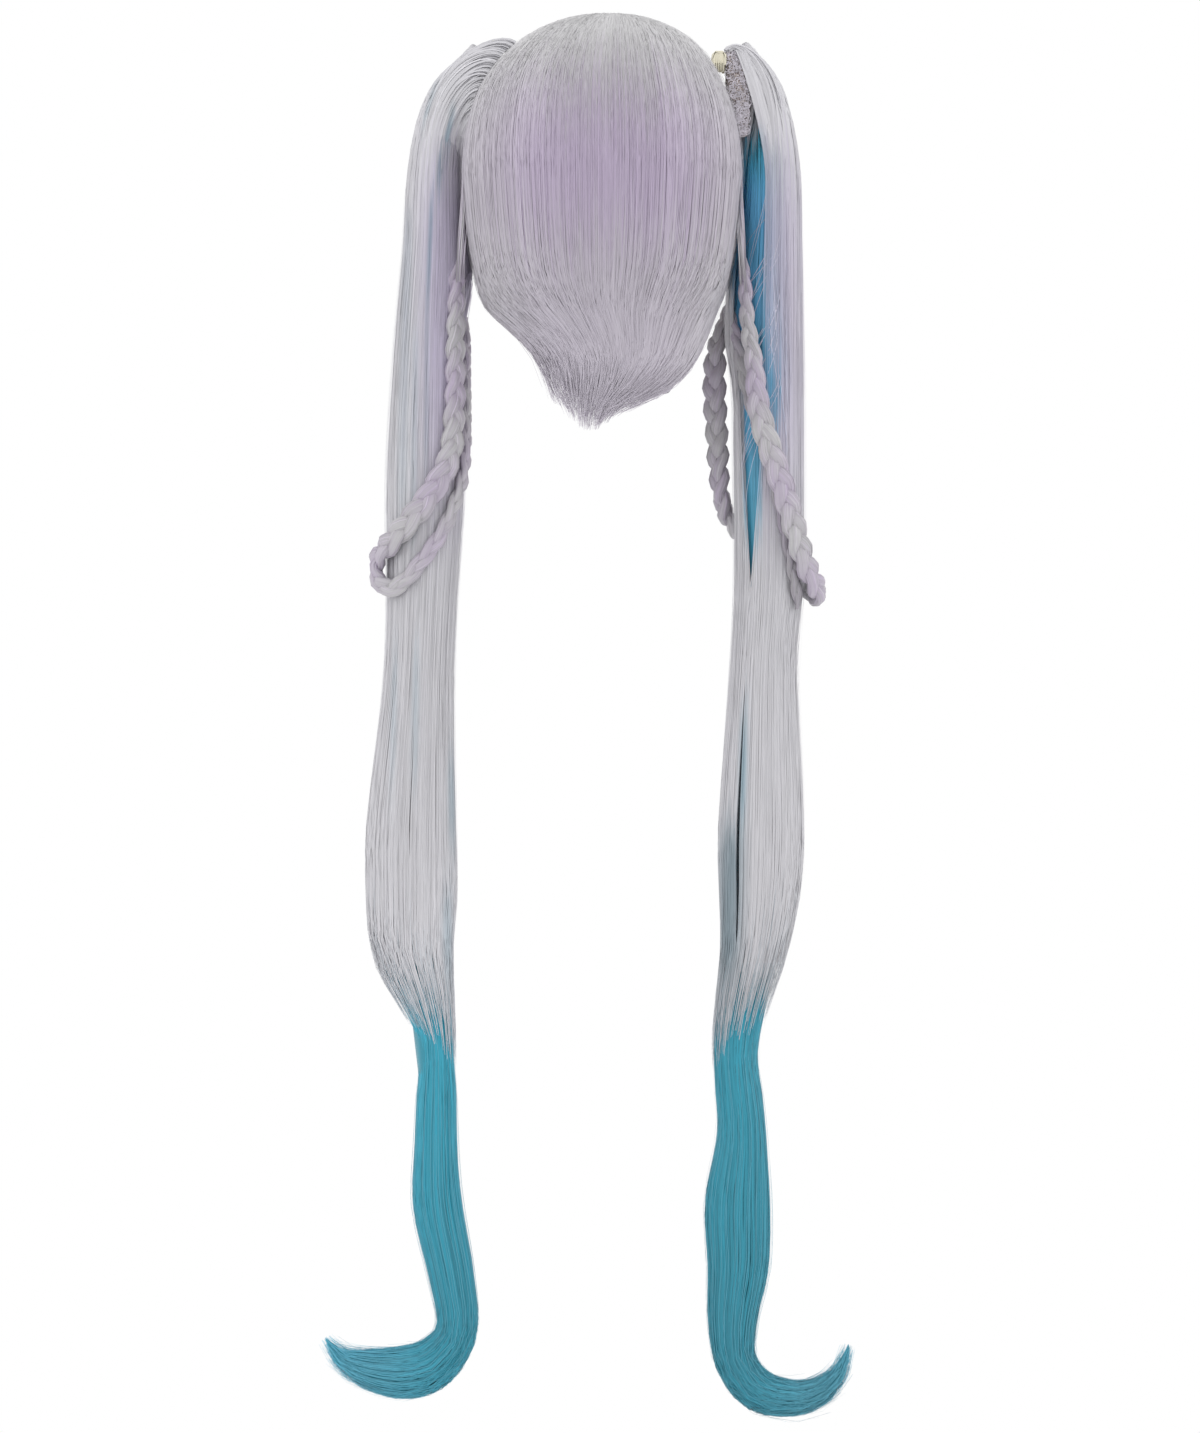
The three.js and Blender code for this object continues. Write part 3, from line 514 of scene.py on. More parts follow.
def lay_strands(name, routes, outward, widths, seed, flatness=0.32, sides=3, tone=(0.06, 1.0), tints=None,
                softness=0.75):
    """Joined mesh of copies of one strand, each bent along its own route

    softness turns the shading normals towards the hair's own surface, as in hair that lies close. tone is
    the spread and middle of the strands' brightness, which tints may also change along them, with painted
    light and shade in some pieces.
    """
    count, sections, _ = routes.shape
    model, corners, sizes, under = strand_model(sections, sides)
    ring = np.rint(model[:, 2]).astype(int)
    along = unit(np.gradient(routes, axis=1))
    side = unit(np.cross(outward, along))
    up = np.cross(along, side)
    widths = np.broadcast_to(widths, (count, sections))
    across = model[:, 0][None, :, None] * side[:, ring] * widths[:, ring, None]
    raised = model[:, 1][None, :, None] * up[:, ring] * widths[:, ring, None] * flatness
    points = routes[:, ring] + across + raised

    mesh = bpy.data.meshes.new(name)
    mesh.vertices.add(count * len(model))
    mesh.vertices.foreach_set("co", points.astype(np.float32).ravel())
    shifted = corners[None, :] + (np.arange(count) * len(model))[:, None]
    all_sizes = np.tile(sizes, count)
    mesh.loops.add(shifted.size)
    mesh.loops.foreach_set("vertex_index", shifted.astype(np.int32).ravel())
    mesh.polygons.add(len(all_sizes))
    starts = np.concatenate([[0], np.cumsum(all_sizes)[:-1]])
    mesh.polygons.foreach_set("loop_start", starts.astype(np.int32))
    mesh.update(calc_edges=True)
    mesh.polygons.foreach_set("use_smooth", np.ones(len(all_sizes), bool))
    mesh.validate()
    round_normal = unit(model[:, 0][None, :, None] * side[:, ring]
                        + model[:, 1][None, :, None] / flatness * up[:, ring])
    lean = outward[:, ring] * softness
    outer = unit(round_normal * (1 - softness) + lean)[:, corners]
    inner = unit(round_normal * (1 - softness) - lean)[:, corners]
    normals = np.where(under[None, :, None], inner, outer)
    mesh.normals_split_custom_set(normals.reshape(-1, 3).tolist())

    rng = np.random.default_rng(seed + 1)
    steps = np.linalg.norm(np.diff(routes, axis=1), axis=2)
    length = np.concatenate([np.zeros((count, 1)), np.cumsum(steps, axis=1)], axis=1)
    own = rng.uniform(0, 400, (count, 1))
    fibre = np.stack([
        own + model[:, 0][None, :] * widths[:, ring] / FIBRE_PITCH,
        length[:, ring] / FIBRE_RUN + own,
        np.broadcast_to(own, (count, len(model))),
    ], axis=-1)
    spread, middle = tone
    tones = np.clip(rng.normal(middle, spread, (count, 1)), 0.5, 1.3)
    shade = np.ones((1, 1)) if tints is None else tints.get("shade", np.ones((1, 1)))
    set_attribute(mesh, "fibre", fibre.reshape(-1, 3))
    set_attribute(mesh, "tone", (tones * np.broadcast_to(shade, (count, sections))[:, ring]).reshape(-1))
    for tint in ("lilac", "blue"):
        values = np.zeros((count, sections)) if tints is None else tints[tint]
        values = np.broadcast_to(values, (count, sections))
        set_attribute(mesh, tint, np.clip(values[:, ring], 0, 1).reshape(-1))
    piece = bpy.data.objects.new(name, mesh)
    bpy.context.scene.collection.objects.link(piece)
    return piece


def base_form(name, node, inset, levels):
    """Smooth form under the strands: a copy of a solid, merged, drawn in a little and subdivided"""
    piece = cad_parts[node].copy()
    piece.data = piece.data.copy()
    piece.name = name
    piece.data.name = name
    for key in list(piece.keys()):
        del piece[key]
    piece.parent = None
    piece.hide_render = False
    piece.hide_viewport = False
    piece.data.materials.clear()
    bpy.context.scene.collection.objects.link(piece)
    select_only(piece)
    bpy.ops.object.mode_set(mode="EDIT")
    bpy.ops.mesh.select_all(action="SELECT")
    bpy.ops.mesh.remove_doubles(threshold=0.02 * MM)
    bpy.ops.mesh.normals_make_consistent(inside=False)
    if inset:
        bpy.ops.transform.shrink_fatten(value=-inset)
    bpy.ops.object.mode_set(mode="OBJECT")
    if levels:
        smooth = piece.modifiers.new("Smooth form", "SUBSURF")
        smooth.levels = levels
        smooth.render_levels = levels
        bpy.ops.object.modifier_apply(modifier=smooth.name)
    bpy.ops.object.shade_smooth()
    for attribute in list(piece.data.attributes):
        if attribute.name in ("fibre", "tone", "lilac", "blue"):
            piece.data.attributes.remove(attribute)
    return piece


def mesh_points(piece):
    """Points of a mesh as an array"""
    points = np.zeros(len(piece.data.vertices) * 3)
    piece.data.vertices.foreach_get("co", points)
    return points.reshape(-1, 3)


def colour_base(piece, turns, tone, tints):
    """Fibre direction, tone and tints on a base form, from its own points"""
    points = mesh_points(piece)
    fibre = np.stack([turns / FIBRE_PITCH, points[:, 2] / FIBRE_RUN, 0 * turns], axis=-1)
    set_attribute(piece.data, "fibre", fibre)
    set_attribute(piece.data, "tone", tone * tints.get("shade", np.ones(len(points))))
    for tint in ("lilac", "blue"):
        set_attribute(piece.data, tint, np.clip(tints[tint], 0, 1))


def finish_piece(piece, material, replaced=()):
    """Material, body and the solids that a piece stands for"""
    piece.data.materials.clear()
    piece.data.materials.append(material)
    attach(piece, "root")
    if replaced:
        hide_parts(*replaced)
    deselect_all()
    return piece


def slow_streaks(angle):
    """Soft light and dark streaks round a head of hair, about -1 to 1"""
    return (np.sin(0.23 * angle + 1) + 0.6 * np.sin(0.61 * angle + 2) + 0.4 * np.sin(1.7 * angle)) / 2


def head_dye_and_painted_light(points, rng=None):
    """Lilac band across the back of the head, fading to silver at the crown, edges and nape, with painted
    light and shade in its brightness
    """
    x, z = points[..., 0] / MM, points[..., 2] / MM
    ragged = 0 if rng is None else rng.normal(0, 11, (points.shape[0],) + (1,) * (x.ndim - 1))
    band = smooth_step(-z + ragged, 4, 92) * (1 - smooth_step(-z + ragged, 108, 210))
    low = 0.42 * smooth_step(-z, 90, 150)
    sides = 1 - smooth_step(np.abs(x - 2) + ragged / 2, 36, 96)
    lilac = np.maximum(band, low) * (0.35 + 0.65 * sides)
    # Painted light: brightness by drop, then lighter sides where light falls on the rims of the head
    shade = np.interp(-z, HEAD_PAINTED_LIGHT_DROPS, HEAD_PAINTED_LIGHT)
    shade = shade + 0.06 * smooth_step(np.abs(x - 2), 45, 85) * smooth_step(-z, 30, 90)
    # Painted light on the sides of the crown, and painted shade over its middle
    crown = 1 - smooth_step(-z, 50, 110)
    shade = shade + crown * (0.12 * smooth_step(np.abs(x - 2), 24, 56) - 0.03)
    turn = np.degrees(np.arctan2(x, -points[..., 1] / MM))
    shade = shade * (1 + 0.035 * slow_streaks(turn))
    return {"lilac": lilac, "blue": 0 * lilac, "shade": shade}


def tail_angles(tail, points):
    """Turn of points round a pigtail in degrees, from its outer side by way of the face side"""
    along = tail.along_at(points[..., 2])
    beside = points[..., 0] * tail.side - tail.x(along)
    return np.degrees(np.arctan2(points[..., 1] - TAIL_FORWARD, beside)) % 360


def blue_zone(angles, z, ragged):
    """How blue the right pigtail's silver layer is, beside its opening and above the plait"""
    drops, starts, ends = zip(*BLUE_ZONE_ROWS)
    low = np.interp(-z, drops, starts) + ragged
    high = np.interp(-z, drops, ends) + ragged
    inside = smooth_step(angles, low - 5, low + 5) * (1 - smooth_step(angles, high - 5, high + 6))
    inside = inside * smooth_step(-z, 58, 66) * (1 - smooth_step(-z, 262, 282))
    second = smooth_step(angles, 218, 228) * (1 - smooth_step(angles, 252, 262))
    second = second * smooth_step(-z, 262, 276) * (1 - smooth_step(-z, 325, 350))
    beside = smooth_step(angles, high - 4, high + 4) * (1 - smooth_step(angles, high + 6, high + 34))
    beside = beside * smooth_step(-z, 75, 105) * (1 - smooth_step(-z, 215, 265))
    return np.maximum(0.92 * np.maximum(inside, 0.85 * second), 0.42 * beside)


def tail_dye_and_painted_light(tail, points, rng=None):
    """Lilac upper half and blue streaks of the silver layer, with painted light and shade in its brightness
    """
    x, y, z = (points[..., i] / MM for i in range(3))
    own = (points.shape[0],) + (1,) * (x.ndim - 1)
    ragged = 0 if rng is None else rng.normal(0, 12, own)
    upper = smooth_step(-z + ragged, 50, 130) * (1 - smooth_step(-z + ragged, 230, 380))
    if tail.side < 0:
        across = smooth_step(x, -136, -112)
    else:
        across = smooth_step(x, 98, 112) * (1 - 0.45 * smooth_step(x, 124, 138))
    lilac = upper * (0.12 + 0.58 * across) + 0.10 * (1 - upper)
    blue = 0.03 + 0.05 * upper * across
    beside = x - tail.side * (HAIR_HALF_WIDTH / MM + 20)
    turn = np.degrees(np.arctan2(y - TAIL_FORWARD / MM, beside))
    # Painted light on the upper pigtail where it is lilac: 12 % on the left, whose inner side lies in the
    # head's shade, and 4 % on the right
    shade = 1 + 0.035 * slow_streaks(turn) + (0.12 if tail.side < 0 else 0.04) * upper * across
    seen = smooth_step(-y, -TAIL_FORWARD / MM - 8, -TAIL_FORWARD / MM + 8)
    streaks = RIGHT_STREAKS if tail.side > 0 else LEFT_STREAKS
    for x_top, z_top, x_low, z_low, half, strength, darker in streaks:
        share = np.clip((z - z_top) / (z_low - z_top), 0, 1)
        middle = x_top + (x_low - x_top) * share
        ends = smooth_step(-z, -z_top - 15, -z_top + 10) * (1 - smooth_step(-z, -z_low - 25, -z_low + 20))
        near = np.exp(-((x - middle) / half) ** 2)
        blue = np.maximum(blue, strength * near * ends * seen)
        # The right pigtail's last streak darkens with painted shade along its inner edge
        shade = np.minimum(shade, 1 - darker * near * ends * seen)
    if tail.side > 0:
        ragged = 0 if rng is None else rng.normal(0, 4, own)
        zone = blue_zone(tail_angles(tail, points), z, ragged)
        blue = np.maximum(blue, zone)
        # Painted light in the blue zone, which lies in the shade between the pigtail and the head
        shade = shade * (1 + 0.3 * zone)
    # Painted light on the left pigtail's silver ends, against the shade between their thinning strands, and
    # slight painted shade on the right's
    shade = shade * (1 + (0.1 if tail.side < 0 else -0.03) * smooth_step(-z, 560, 650))
    # Painted shade on the outer side of each pigtail's upper part
    outer = smooth_step(np.abs(x), 114, 128) * smooth_step(-z, 50, 90) * (1 - smooth_step(-z, 170, 300))
    shade = shade * (1 - 0.1 * outer)
    lilac = np.maximum(lilac, 0.7 * np.minimum(1, 2 * blue) * upper)
    return {"lilac": lilac, "blue": blue, "shade": shade}


def resample(routes, extra, start, end, sections):
    """Even sections along dense routes between two lengths of each, with other columns carried along"""
    steps = np.linalg.norm(np.diff(routes, axis=1), axis=2)
    length = np.concatenate([np.zeros((len(routes), 1)), np.cumsum(steps, axis=1)], axis=1)
    columns = np.concatenate([routes, extra], axis=2)
    share = np.linspace(0, 1, sections)
    result = np.empty((len(routes), sections, columns.shape[2]))
    for i in range(len(routes)):
        wanted = start[i] + (end[i] * length[i, -1] - start[i]) * share
        for k in range(columns.shape[2]):
            result[i, :, k] = np.interp(wanted, length[i], columns[i, :, k])
    return result


def comb_over_head(turn, z, start, sections, rng, loose=0.0, tuck=0.0, spray=0.0):
    """Routes and normals over the head hair from dense turns and heights, evened out and lifted a little"""
    count = len(turn)
    routes = head_point(turn, z)
    routes[..., 0] += 4 * MM * (1 - smooth_step(-z, -HAIR_TOP, 40 * MM))
    placed = resample(routes, head_outward(turn, z), start, np.ones(count), sections)
    outward = unit(placed[..., 3:])
    along = np.linspace(0, 1, sections)[None, :]
    off = rng.uniform(-0.45, 0.25, (count, 1)) * MM + slow_noise(rng, count, sections) * 0.15 * MM
    off = off * (0.45 + 0.55 * smooth_step(along, 0.1, 0.5))
    off = off - 0.5 * MM * (1 - smooth_step(along, 0, 0.14)) - tuck * 0.9 * MM * smooth_step(along, 0.8, 1)
    off = off + spray * rng.exponential(1.2, (count, 1)) * MM * smooth_step(along, 0.85, 1)
    off = off + loose * rng.uniform(0.3, 1, (count, 1)) * np.sin(along * math.pi)
    return placed[..., :3] + outward * off[..., None], outward


def comb_back(count, sections, seed, loose=0.0):
    """Strands from the crown down the back, drawn together to the nape and swept to the left there"""
    rng = np.random.default_rng(seed)
    across = evenly(rng, -1, 1, count)
    share = np.linspace(0, 1, 110)[None, :]
    short = rng.uniform(0, 1, (count, 1)) < 0.42
    nape_end = np.interp(across, [-1, -0.6, -0.3, 0, 0.5, 1], [-250, -263, -268, -268, -263, -256])
    short_end = rng.uniform(-242, -115, (count, 1))
    end = np.where(short, short_end, nape_end + rng.uniform(-6, 11, (count, 1))) * MM
    z = HAIR_TOP - (HAIR_TOP - end) * (1 - np.cos(share * math.pi / 2))
    lock = np.round(across * 15) / 15 + rng.normal(0, 0.018, (count, 1))
    place = across + (lock - across) * 0.7 * smooth_step(-z, 215 * MM, 268 * MM)
    level = np.clip((HAIR_TOP - z) / (HAIR_TOP + WIDEST_DROP), 0, 1)
    nape = smooth_step(-z, 208 * MM, 270 * MM)
    turn = place * back_reach(z) + 8 * np.exp(-level * 22)
    turn = turn + slow_noise(rng, count, 110, 2) * (0.4 + 1.0 * nape)
    right = np.maximum(across, 0)
    sweep = 30 * MM * right * (1 - 0.5 * right ** 2) * rng.uniform(0.45, 1, (count, 1)) * nape ** 1.5
    sweep = sweep + 15 * MM * smooth_step(-z, 224 * MM, 268 * MM)
    turn = turn - np.degrees(sweep / (0.6 * HAIR_HALF_WIDTH))
    start = np.abs(rng.normal(0, 34, count)) * MM + 2 * MM
    return comb_over_head(turn, z, start, sections, rng, loose, tuck=short, spray=1 - short)


def comb_front(count, sections, seed):
    """Plain front hair, combed from the crown down to its edge over the forehead and temples"""
    rng = np.random.default_rng(seed)
    root = rng.uniform(91, 180, (count, 1)) * np.where(rng.uniform(0, 1, (count, 1)) < 0.5, -1, 1)
    share = np.linspace(0, 1, 110)[None, :]
    low = head_edge(root) + rng.uniform(-5, 8, (count, 1)) * MM
    z = HAIR_TOP - (HAIR_TOP - low) * (1 - np.cos(share * math.pi / 2))
    level = np.clip((HAIR_TOP - z) / (HAIR_TOP + WIDEST_DROP), 0, 1)
    turn = root + 8 * np.exp(-level * 22) + slow_noise(rng, count, 110, 2) * 0.9
    start = np.abs(rng.normal(0, 34, count)) * MM + 2 * MM
    return comb_over_head(turn, z, start, sections, rng, spray=0.5)


def tapered(count, sections, width, rng, spread=0.25, tip=0.12, tip_share=0.18, root_share=0.08):
    """Widths along each strand, thin at both ends"""
    along = np.linspace(0, 1, sections)[None, :]
    root = smooth_step(along, 0, root_share) if root_share else 1
    ends = tip + (1 - tip) * root * (1 - smooth_step(along, 1 - tip_share, 1.0) * (1 - tip))
    return width * rng.uniform(1 - spread, 1 + spread, (count, 1)) * ends


def crown_fineness(routes):
    """Share of their width that strands keep where they draw together towards the crown"""
    reach = np.hypot(routes[..., 0] / HAIR_HALF_WIDTH, routes[..., 1] / HAIR_HALF_DEPTH)
    return np.where(routes[..., 2] > -WIDEST_DROP, np.clip(0.28 + 0.72 * reach, 0, 1), 1)


def clear_of_slit(tail, along, angle, turn, rng):
    """Keeps strands on their own side of the opening in the silver layer of the right pigtail"""
    if tail.side < 0:
        return turn
    half = np.maximum(tail.slit(along) - 4.4, 0) * 1.15
    own = (angle - SLIT_TURN + 180) % 360 - 180
    sign = np.where(own < 0, -1, 1)
    away = (turn - SLIT_TURN + 180) % 360 - 180
    away = np.where(np.abs(away - own) > 180, own, away)
    gap = half + 5 * rng.uniform(0, 1, (len(angle), 1)) * smooth_step(half, 0, 2)
    pushed = sign * np.maximum(sign * away, gap)
    return SLIT_TURN + np.where(half > 0.05, pushed, away)


def inner_swell(tail, along):
    """How far a pigtail's inner side swells to lie against the head"""
    along = np.clip(along, 0, tail.length)
    z = tail.z(along)
    gap = tail.x(along) - tail.width(along) / 2 - np.abs(head_point(90, np.minimum(z, HAIR_TOP))[..., 0])
    end = INNER_SWELL_END["right" if tail.side > 0 else "left"]
    beside = smooth_step(-z, INNER_SWELL_TOP, INNER_SWELL_TOP + 12 * MM)
    beside = beside * (1 - smooth_step(-z, end, end + 28 * MM))
    return np.clip(gap + 1 * MM, 0, INNER_SWELL) * beside


def comb_tail(tail, count, sections, start, end, seed, angles=(0, 360), under=False, loose=0.0, dome=False,
              fan=0.0, raised=0.0):
    """Routes and normals of strands down a pigtail, on the silver layer or on the blue hair under it"""
    rng = np.random.default_rng(seed)
    angle = evenly(rng, *angles, count)
    start = np.broadcast_to(start, (count,))[:, None]
    end = np.broadcast_to(end, (count,))[:, None]
    share = np.linspace(0, 1, sections)[None, :]
    along = start + (end - start) * share
    lock = np.round(angle / 13) * 13 + rng.normal(0, 2.5, (count, 1))
    clump = 0.2 * smooth_step(along, end - 60 * MM, end)
    turn = angle + (lock - angle) * clump + slow_noise(rng, count, sections, 4) * 3.0
    off = rng.uniform(-0.5, 0.3, (count, 1)) * MM + slow_noise(rng, count, sections) * 0.18 * MM
    off = off + loose * rng.uniform(0.3, 1, (count, 1)) * np.sin(share * math.pi)
    off = off + fan * np.maximum(rng.normal(0.2, 1, (count, 1)), -0.3) * smooth_step(share, 0.84, 1) ** 2
    if not under:
        turn = clear_of_slit(tail, along, angle, turn, rng)
        inner = np.maximum(-np.cos(np.radians(turn)), 0) ** 1.2
        off = off + inner_swell(tail, along) * inner
    turn = np.radians(turn)
    along = np.clip(along, 0, tail.length)
    if under:
        lowest = tail.sheath_end + SHEATH_SLANT
        covered = 1 - smooth_step(along, lowest, lowest + 25 * MM)
        off = off - covered * (tail.wall(along) + 0.5 * MM - raised)
        if raised:
            off = off + 0.9 * inner_swell(tail, along) * np.maximum(-np.cos(turn), 0) ** 1.2
    routes, outward = tail.surface(along, turn, off)
    if dome:
        closing = smooth_step(along, -3 * MM, 6 * MM)[..., None]
        middle = tail.frame(along)[0] * np.array([tail.side, 1, 1])
        top = middle + np.array([0, 0, 2 * MM])
        routes = top + (routes - top) * np.sqrt(closing)
        outward = unit(outward + np.array([0, 0, 1.0]) * (1 - closing))
    return routes, outward


def bezier(points, sections):
    """Curves through four control points each, in even steps of their parameter"""
    t = np.linspace(0, 1, sections)[None, :, None]
    weights = [(1 - t) ** 3, 3 * t * (1 - t) ** 2, 3 * t ** 2 * (1 - t), t ** 3]
    return sum(weight * point[:, None, :] for weight, point in zip(weights, points))


def comb_crest(tail, count, seed):
    """Strands that rise beside a clip, arch over it and fall into the pigtail

    They lie in a fan, so that none crosses another. On the right they start on the net base's top and
    leave most of it in sight. On the left they start on the head hair, and most fall in front of the
    clip and the net base, as seen from the back of the head.
    """
    rng = np.random.default_rng(seed)
    side = tail.side
    fan = evenly(rng, 0, 1, count)[:, 0]
    if side > 0:
        over_net = rng.uniform(0, 1, count) < 0.35
        behind = over_net | (fan < 0.22)
        angle = np.where(over_net, 256 + 18 * fan, 266 + 184 * fan)
        x = np.where(over_net, 91.5 + 7 * fan, rng.uniform(84, 89, count))
        y = np.where(over_net, -6.3, -6.5 + 42 * fan)
        root = np.stack([x, y, rng.uniform(-9, -7.5, count)], axis=-1) * MM
        root_out = np.tile([0.3, -0.4, 1.0], (count, 1))
        join = np.where(over_net, rng.uniform(84, 104, count), rng.uniform(38, 62, count)) * MM
        lift = np.stack([np.where(over_net, 1, 5.5), 0 * fan, np.where(over_net, 3.5, 9.5)], axis=-1) * MM
        back_limit = -5.9 - rng.uniform(0, 1.4, count)
        reach = np.where(over_net, 36.0, 30.0)
    else:
        behind = rng.uniform(0, 1, count) < 0.8
        angle = np.where(behind, 192 + 112 * fan, 300 + 120 * fan)
        turn = -np.where(behind, 86 - 9 * fan + rng.uniform(-1.5, 1.5, count), rng.uniform(88, 106, count))
        z = np.where(behind, -62 + 57 * fan + rng.uniform(-2, 2, count), rng.uniform(-8, -2, count)) * MM
        root_out = head_outward(turn, z)
        root = head_point(turn, z) - root_out * 0.8 * MM
        join = np.where(behind, 106 - 40 * fan + rng.uniform(-6, 6, count), rng.uniform(30, 60, count)) * MM
        out = np.where(behind, 2 + 11 * fan, 7)
        rise = np.where(behind, -10 + 19 * fan ** 0.7, 11)
        lift = np.stack([side * out, -1 + 0 * fan, rise], axis=-1) * MM
        back_limit = -7.6 - rng.uniform(0, 0.7, count)
        reach = np.where(behind, 25 + 28 * fan, 30)
    radians = np.radians(angle)[:, None]
    off = rng.uniform(-0.1, 0.5, (count, 1)) * MM
    joint, joint_out = tail.surface(join[:, None], radians, off)
    later, _ = tail.surface(join[:, None] + 4 * MM, radians, off)
    joint, joint_out, later = joint[:, 0], joint_out[:, 0], later[:, 0]
    falling = unit(later - joint)
    first = root + lift
    second = joint - falling * reach[:, None] * MM
    arch = bezier([root, first, second, joint], 12)
    limit = np.where(behind, back_limit, 99)[:, None] * MM
    low = smooth_step(-arch[..., 2], 58 * MM, 74 * MM)
    arch[..., 1] = np.minimum(arch[..., 1], limit * (1 - low) + arch[..., 1] * low)
    share = np.linspace(0, 1, 11)[1:][None, :]
    fall = join[:, None] + rng.uniform(90, 220, (count, 1)) * MM * share
    rest, rest_out = tail.surface(fall, radians + 0 * fall, off + 0 * fall)
    blend = np.linspace(0, 1, 12)[None, :, None]
    towards_back = np.array([0, -0.9, 0.5])
    arch_out = unit((root_out[:, None] * 0.5 + towards_back) * (1 - blend) + joint_out[:, None] * blend)
    return np.concatenate([arch, rest], axis=1), np.concatenate([arch_out, rest_out], axis=1)


def comb_across_slit(tail, count, sections, seed):
    """Loose hairs that cross the opening in the silver layer at a slant"""
    rng = np.random.default_rng(seed)
    share = np.linspace(0, 1, sections)[None, :]
    start = rng.uniform(95, 240, (count, 1)) * MM
    along = start + rng.uniform(45, 120, (count, 1)) * MM * share
    first = SLIT_TURN + rng.uniform(24, 55, (count, 1))
    last = SLIT_TURN - rng.uniform(5, 38, (count, 1))
    last = np.where(rng.uniform(0, 1, (count, 1)) < 0.25, first + 12, last)
    turn = np.radians(first + (last - first) * smooth_step(share, 0, 1))
    bulge = rng.uniform(0.3, 1.6, (count, 1)) * np.sin(share * math.pi)
    return tail.surface(along, turn, (bulge + slow_noise(rng, count, sections) * 0.3) * MM)


def plait_path(tail, rows, step):
    """Middle, normal, size and twist of a plait in even steps over its pigtail"""
    order = np.arange(len(rows))
    columns = [curve_through(order, column) for column in zip(*rows)]
    fine = np.linspace(0, len(rows) - 1, 40 * len(rows))
    down, around, lift, size, twist = (column(fine) for column in columns)
    along = tail.along_at(-TAIL_TOP_DROP - down * TAIL_LENGTH)
    off = 0.4 * MM + (size / 2 + lift) * PLAIT_THICKNESS
    middle, normal = tail.surface(along, np.radians(around), off)
    length = np.concatenate([[0], np.cumsum(np.linalg.norm(np.diff(middle, axis=0), axis=1))])
    count = int(round(length[-1] / step))
    wanted = np.linspace(0, length[-1], count + 1)
    middle, normal = (
        np.stack([np.interp(wanted, length, column) for column in values.T], axis=-1)
        for values in (middle, normal)
    )
    heading = unit(np.gradient(middle, axis=0))
    normal = unit(normal - heading * np.sum(normal * heading, axis=1, keepdims=True))
    angle = np.radians(np.interp(wanted, length, twist))[:, None] * tail.side
    normal = normal * np.cos(angle) + np.cross(heading, normal) * np.sin(angle)
    return middle, normal, heading, np.interp(wanted, length, size), wanted


def comb_plait_root(tail, rows, count, sections, seed):
    """Strands that leave the head hair's edge and gather into the start of a plait"""
    rng = np.random.default_rng(seed)
    middle, normal, heading, size, _ = plait_path(tail, rows, 4 * MM)
    turn = tail.side * rng.uniform(80, 89, count)
    z = rng.uniform(-128, -84, count) * MM
    outward = head_outward(turn, z)
    root = head_point(turn, z) - outward * 0.3 * MM
    place = rng.integers(3, 8, count)
    beside = np.cross(heading, normal)[place] * rng.uniform(-0.34, 0.34, (count, 1))
    end = middle[place] + beside * PLAIT_WIDTH * size[place, None]
    end = end + normal[place] * 0.4 * PLAIT_THICKNESS * size[place, None]
    first = root + outward * 1.5 * MM - np.array([0, 0, 16 * MM])
    second = end - heading[place] * 16 * MM
    blend = np.linspace(0, 1, sections)[None, :, None]
    leaning = unit(outward[:, None] * (1 - blend) + normal[place][:, None] * blend)
    return bezier([root, first, second, end], sections), leaning


def plait_pieces(name, tail, rows, filaments, tone, far_painted_shade, seed):
    """Three interlaced bundles of a plait, and the filaments that lie over them"""
    middle, normal, heading, size, length = plait_path(tail, rows, 4 * MM)
    across = np.cross(heading, normal)
    count = len(middle)
    ends = np.minimum(1, (np.minimum(np.arange(count), count - 1 - np.arange(count)) + 2) / 6)
    width = PLAIT_WIDTH * size * ends
    depth = PLAIT_THICKNESS * size * ends
    bundle_routes, bundle_normals, hair_routes, hair_normals, hair_shade = [], [], [], [], []
    rng = np.random.default_rng(seed)
    for strand in range(3):
        phase = 2 * math.pi * (length / PLAIT_PITCH + strand / 3)
        swing = 0.235 * width * np.sin(phase)
        rise = 0.25 * depth * np.sin(2 * phase)
        line = middle + across * swing[:, None] + normal * rise[:, None]
        way = unit(np.gradient(line, axis=0))
        flat = unit(normal - way * np.sum(normal * way, axis=1, keepdims=True))
        beside = np.cross(way, flat)
        bundle_routes.append(line)
        bundle_normals.append(flat)
        for angle in rng.uniform(0, 2 * math.pi, filaments):
            drift = angle + 0.35 * np.sin(length / PLAIT_PITCH * 2 * math.pi * rng.uniform(0.3, 0.9))
            out = 0.275 * width * np.cos(drift)
            up = 0.275 * width * 0.78 * np.sin(drift)
            hair_routes.append(line + beside * out[:, None] + flat * up[:, None])
            hair_normals.append(unit(beside * np.cos(drift)[:, None] + flat * np.sin(drift)[:, None]))
            hair_shade.append(rng.uniform(0, 0.5))
    wave = np.sin(length / (1.5 * PLAIT_PITCH) * 2 * math.pi)[None, :]
    lilac = 0.35 + 0.35 * wave * (1 - 0.5 * length / length[-1])
    # Painted shade on the last part of the plait, where it comes back up on the side towards the face
    shade = 1 + (far_painted_shade - 1) * smooth_step(length / length[-1], 0.58, 0.72)[None, :]
    tints = {"lilac": np.clip(lilac, 0.1, 0.7), "blue": np.zeros((1, count)), "shade": shade}
    body = lay_strands(f"{name}_bundles", np.array(bundle_routes), np.array(bundle_normals),
                       0.54 * width[None, :], seed, flatness=0.78, sides=12, tone=(0.0, 0.92 * tone),
                       tints=tints, softness=0.3)
    over = dict(tints, lilac=tints["lilac"] + np.array(hair_shade)[:, None] - 0.2)
    hair = lay_strands(f"{name}_filaments", np.array(hair_routes), np.array(hair_normals),
                       (0.9 * MM * size * ends)[None, :], seed + 5, tone=(0.06, tone), tints=over)
    return body, hair


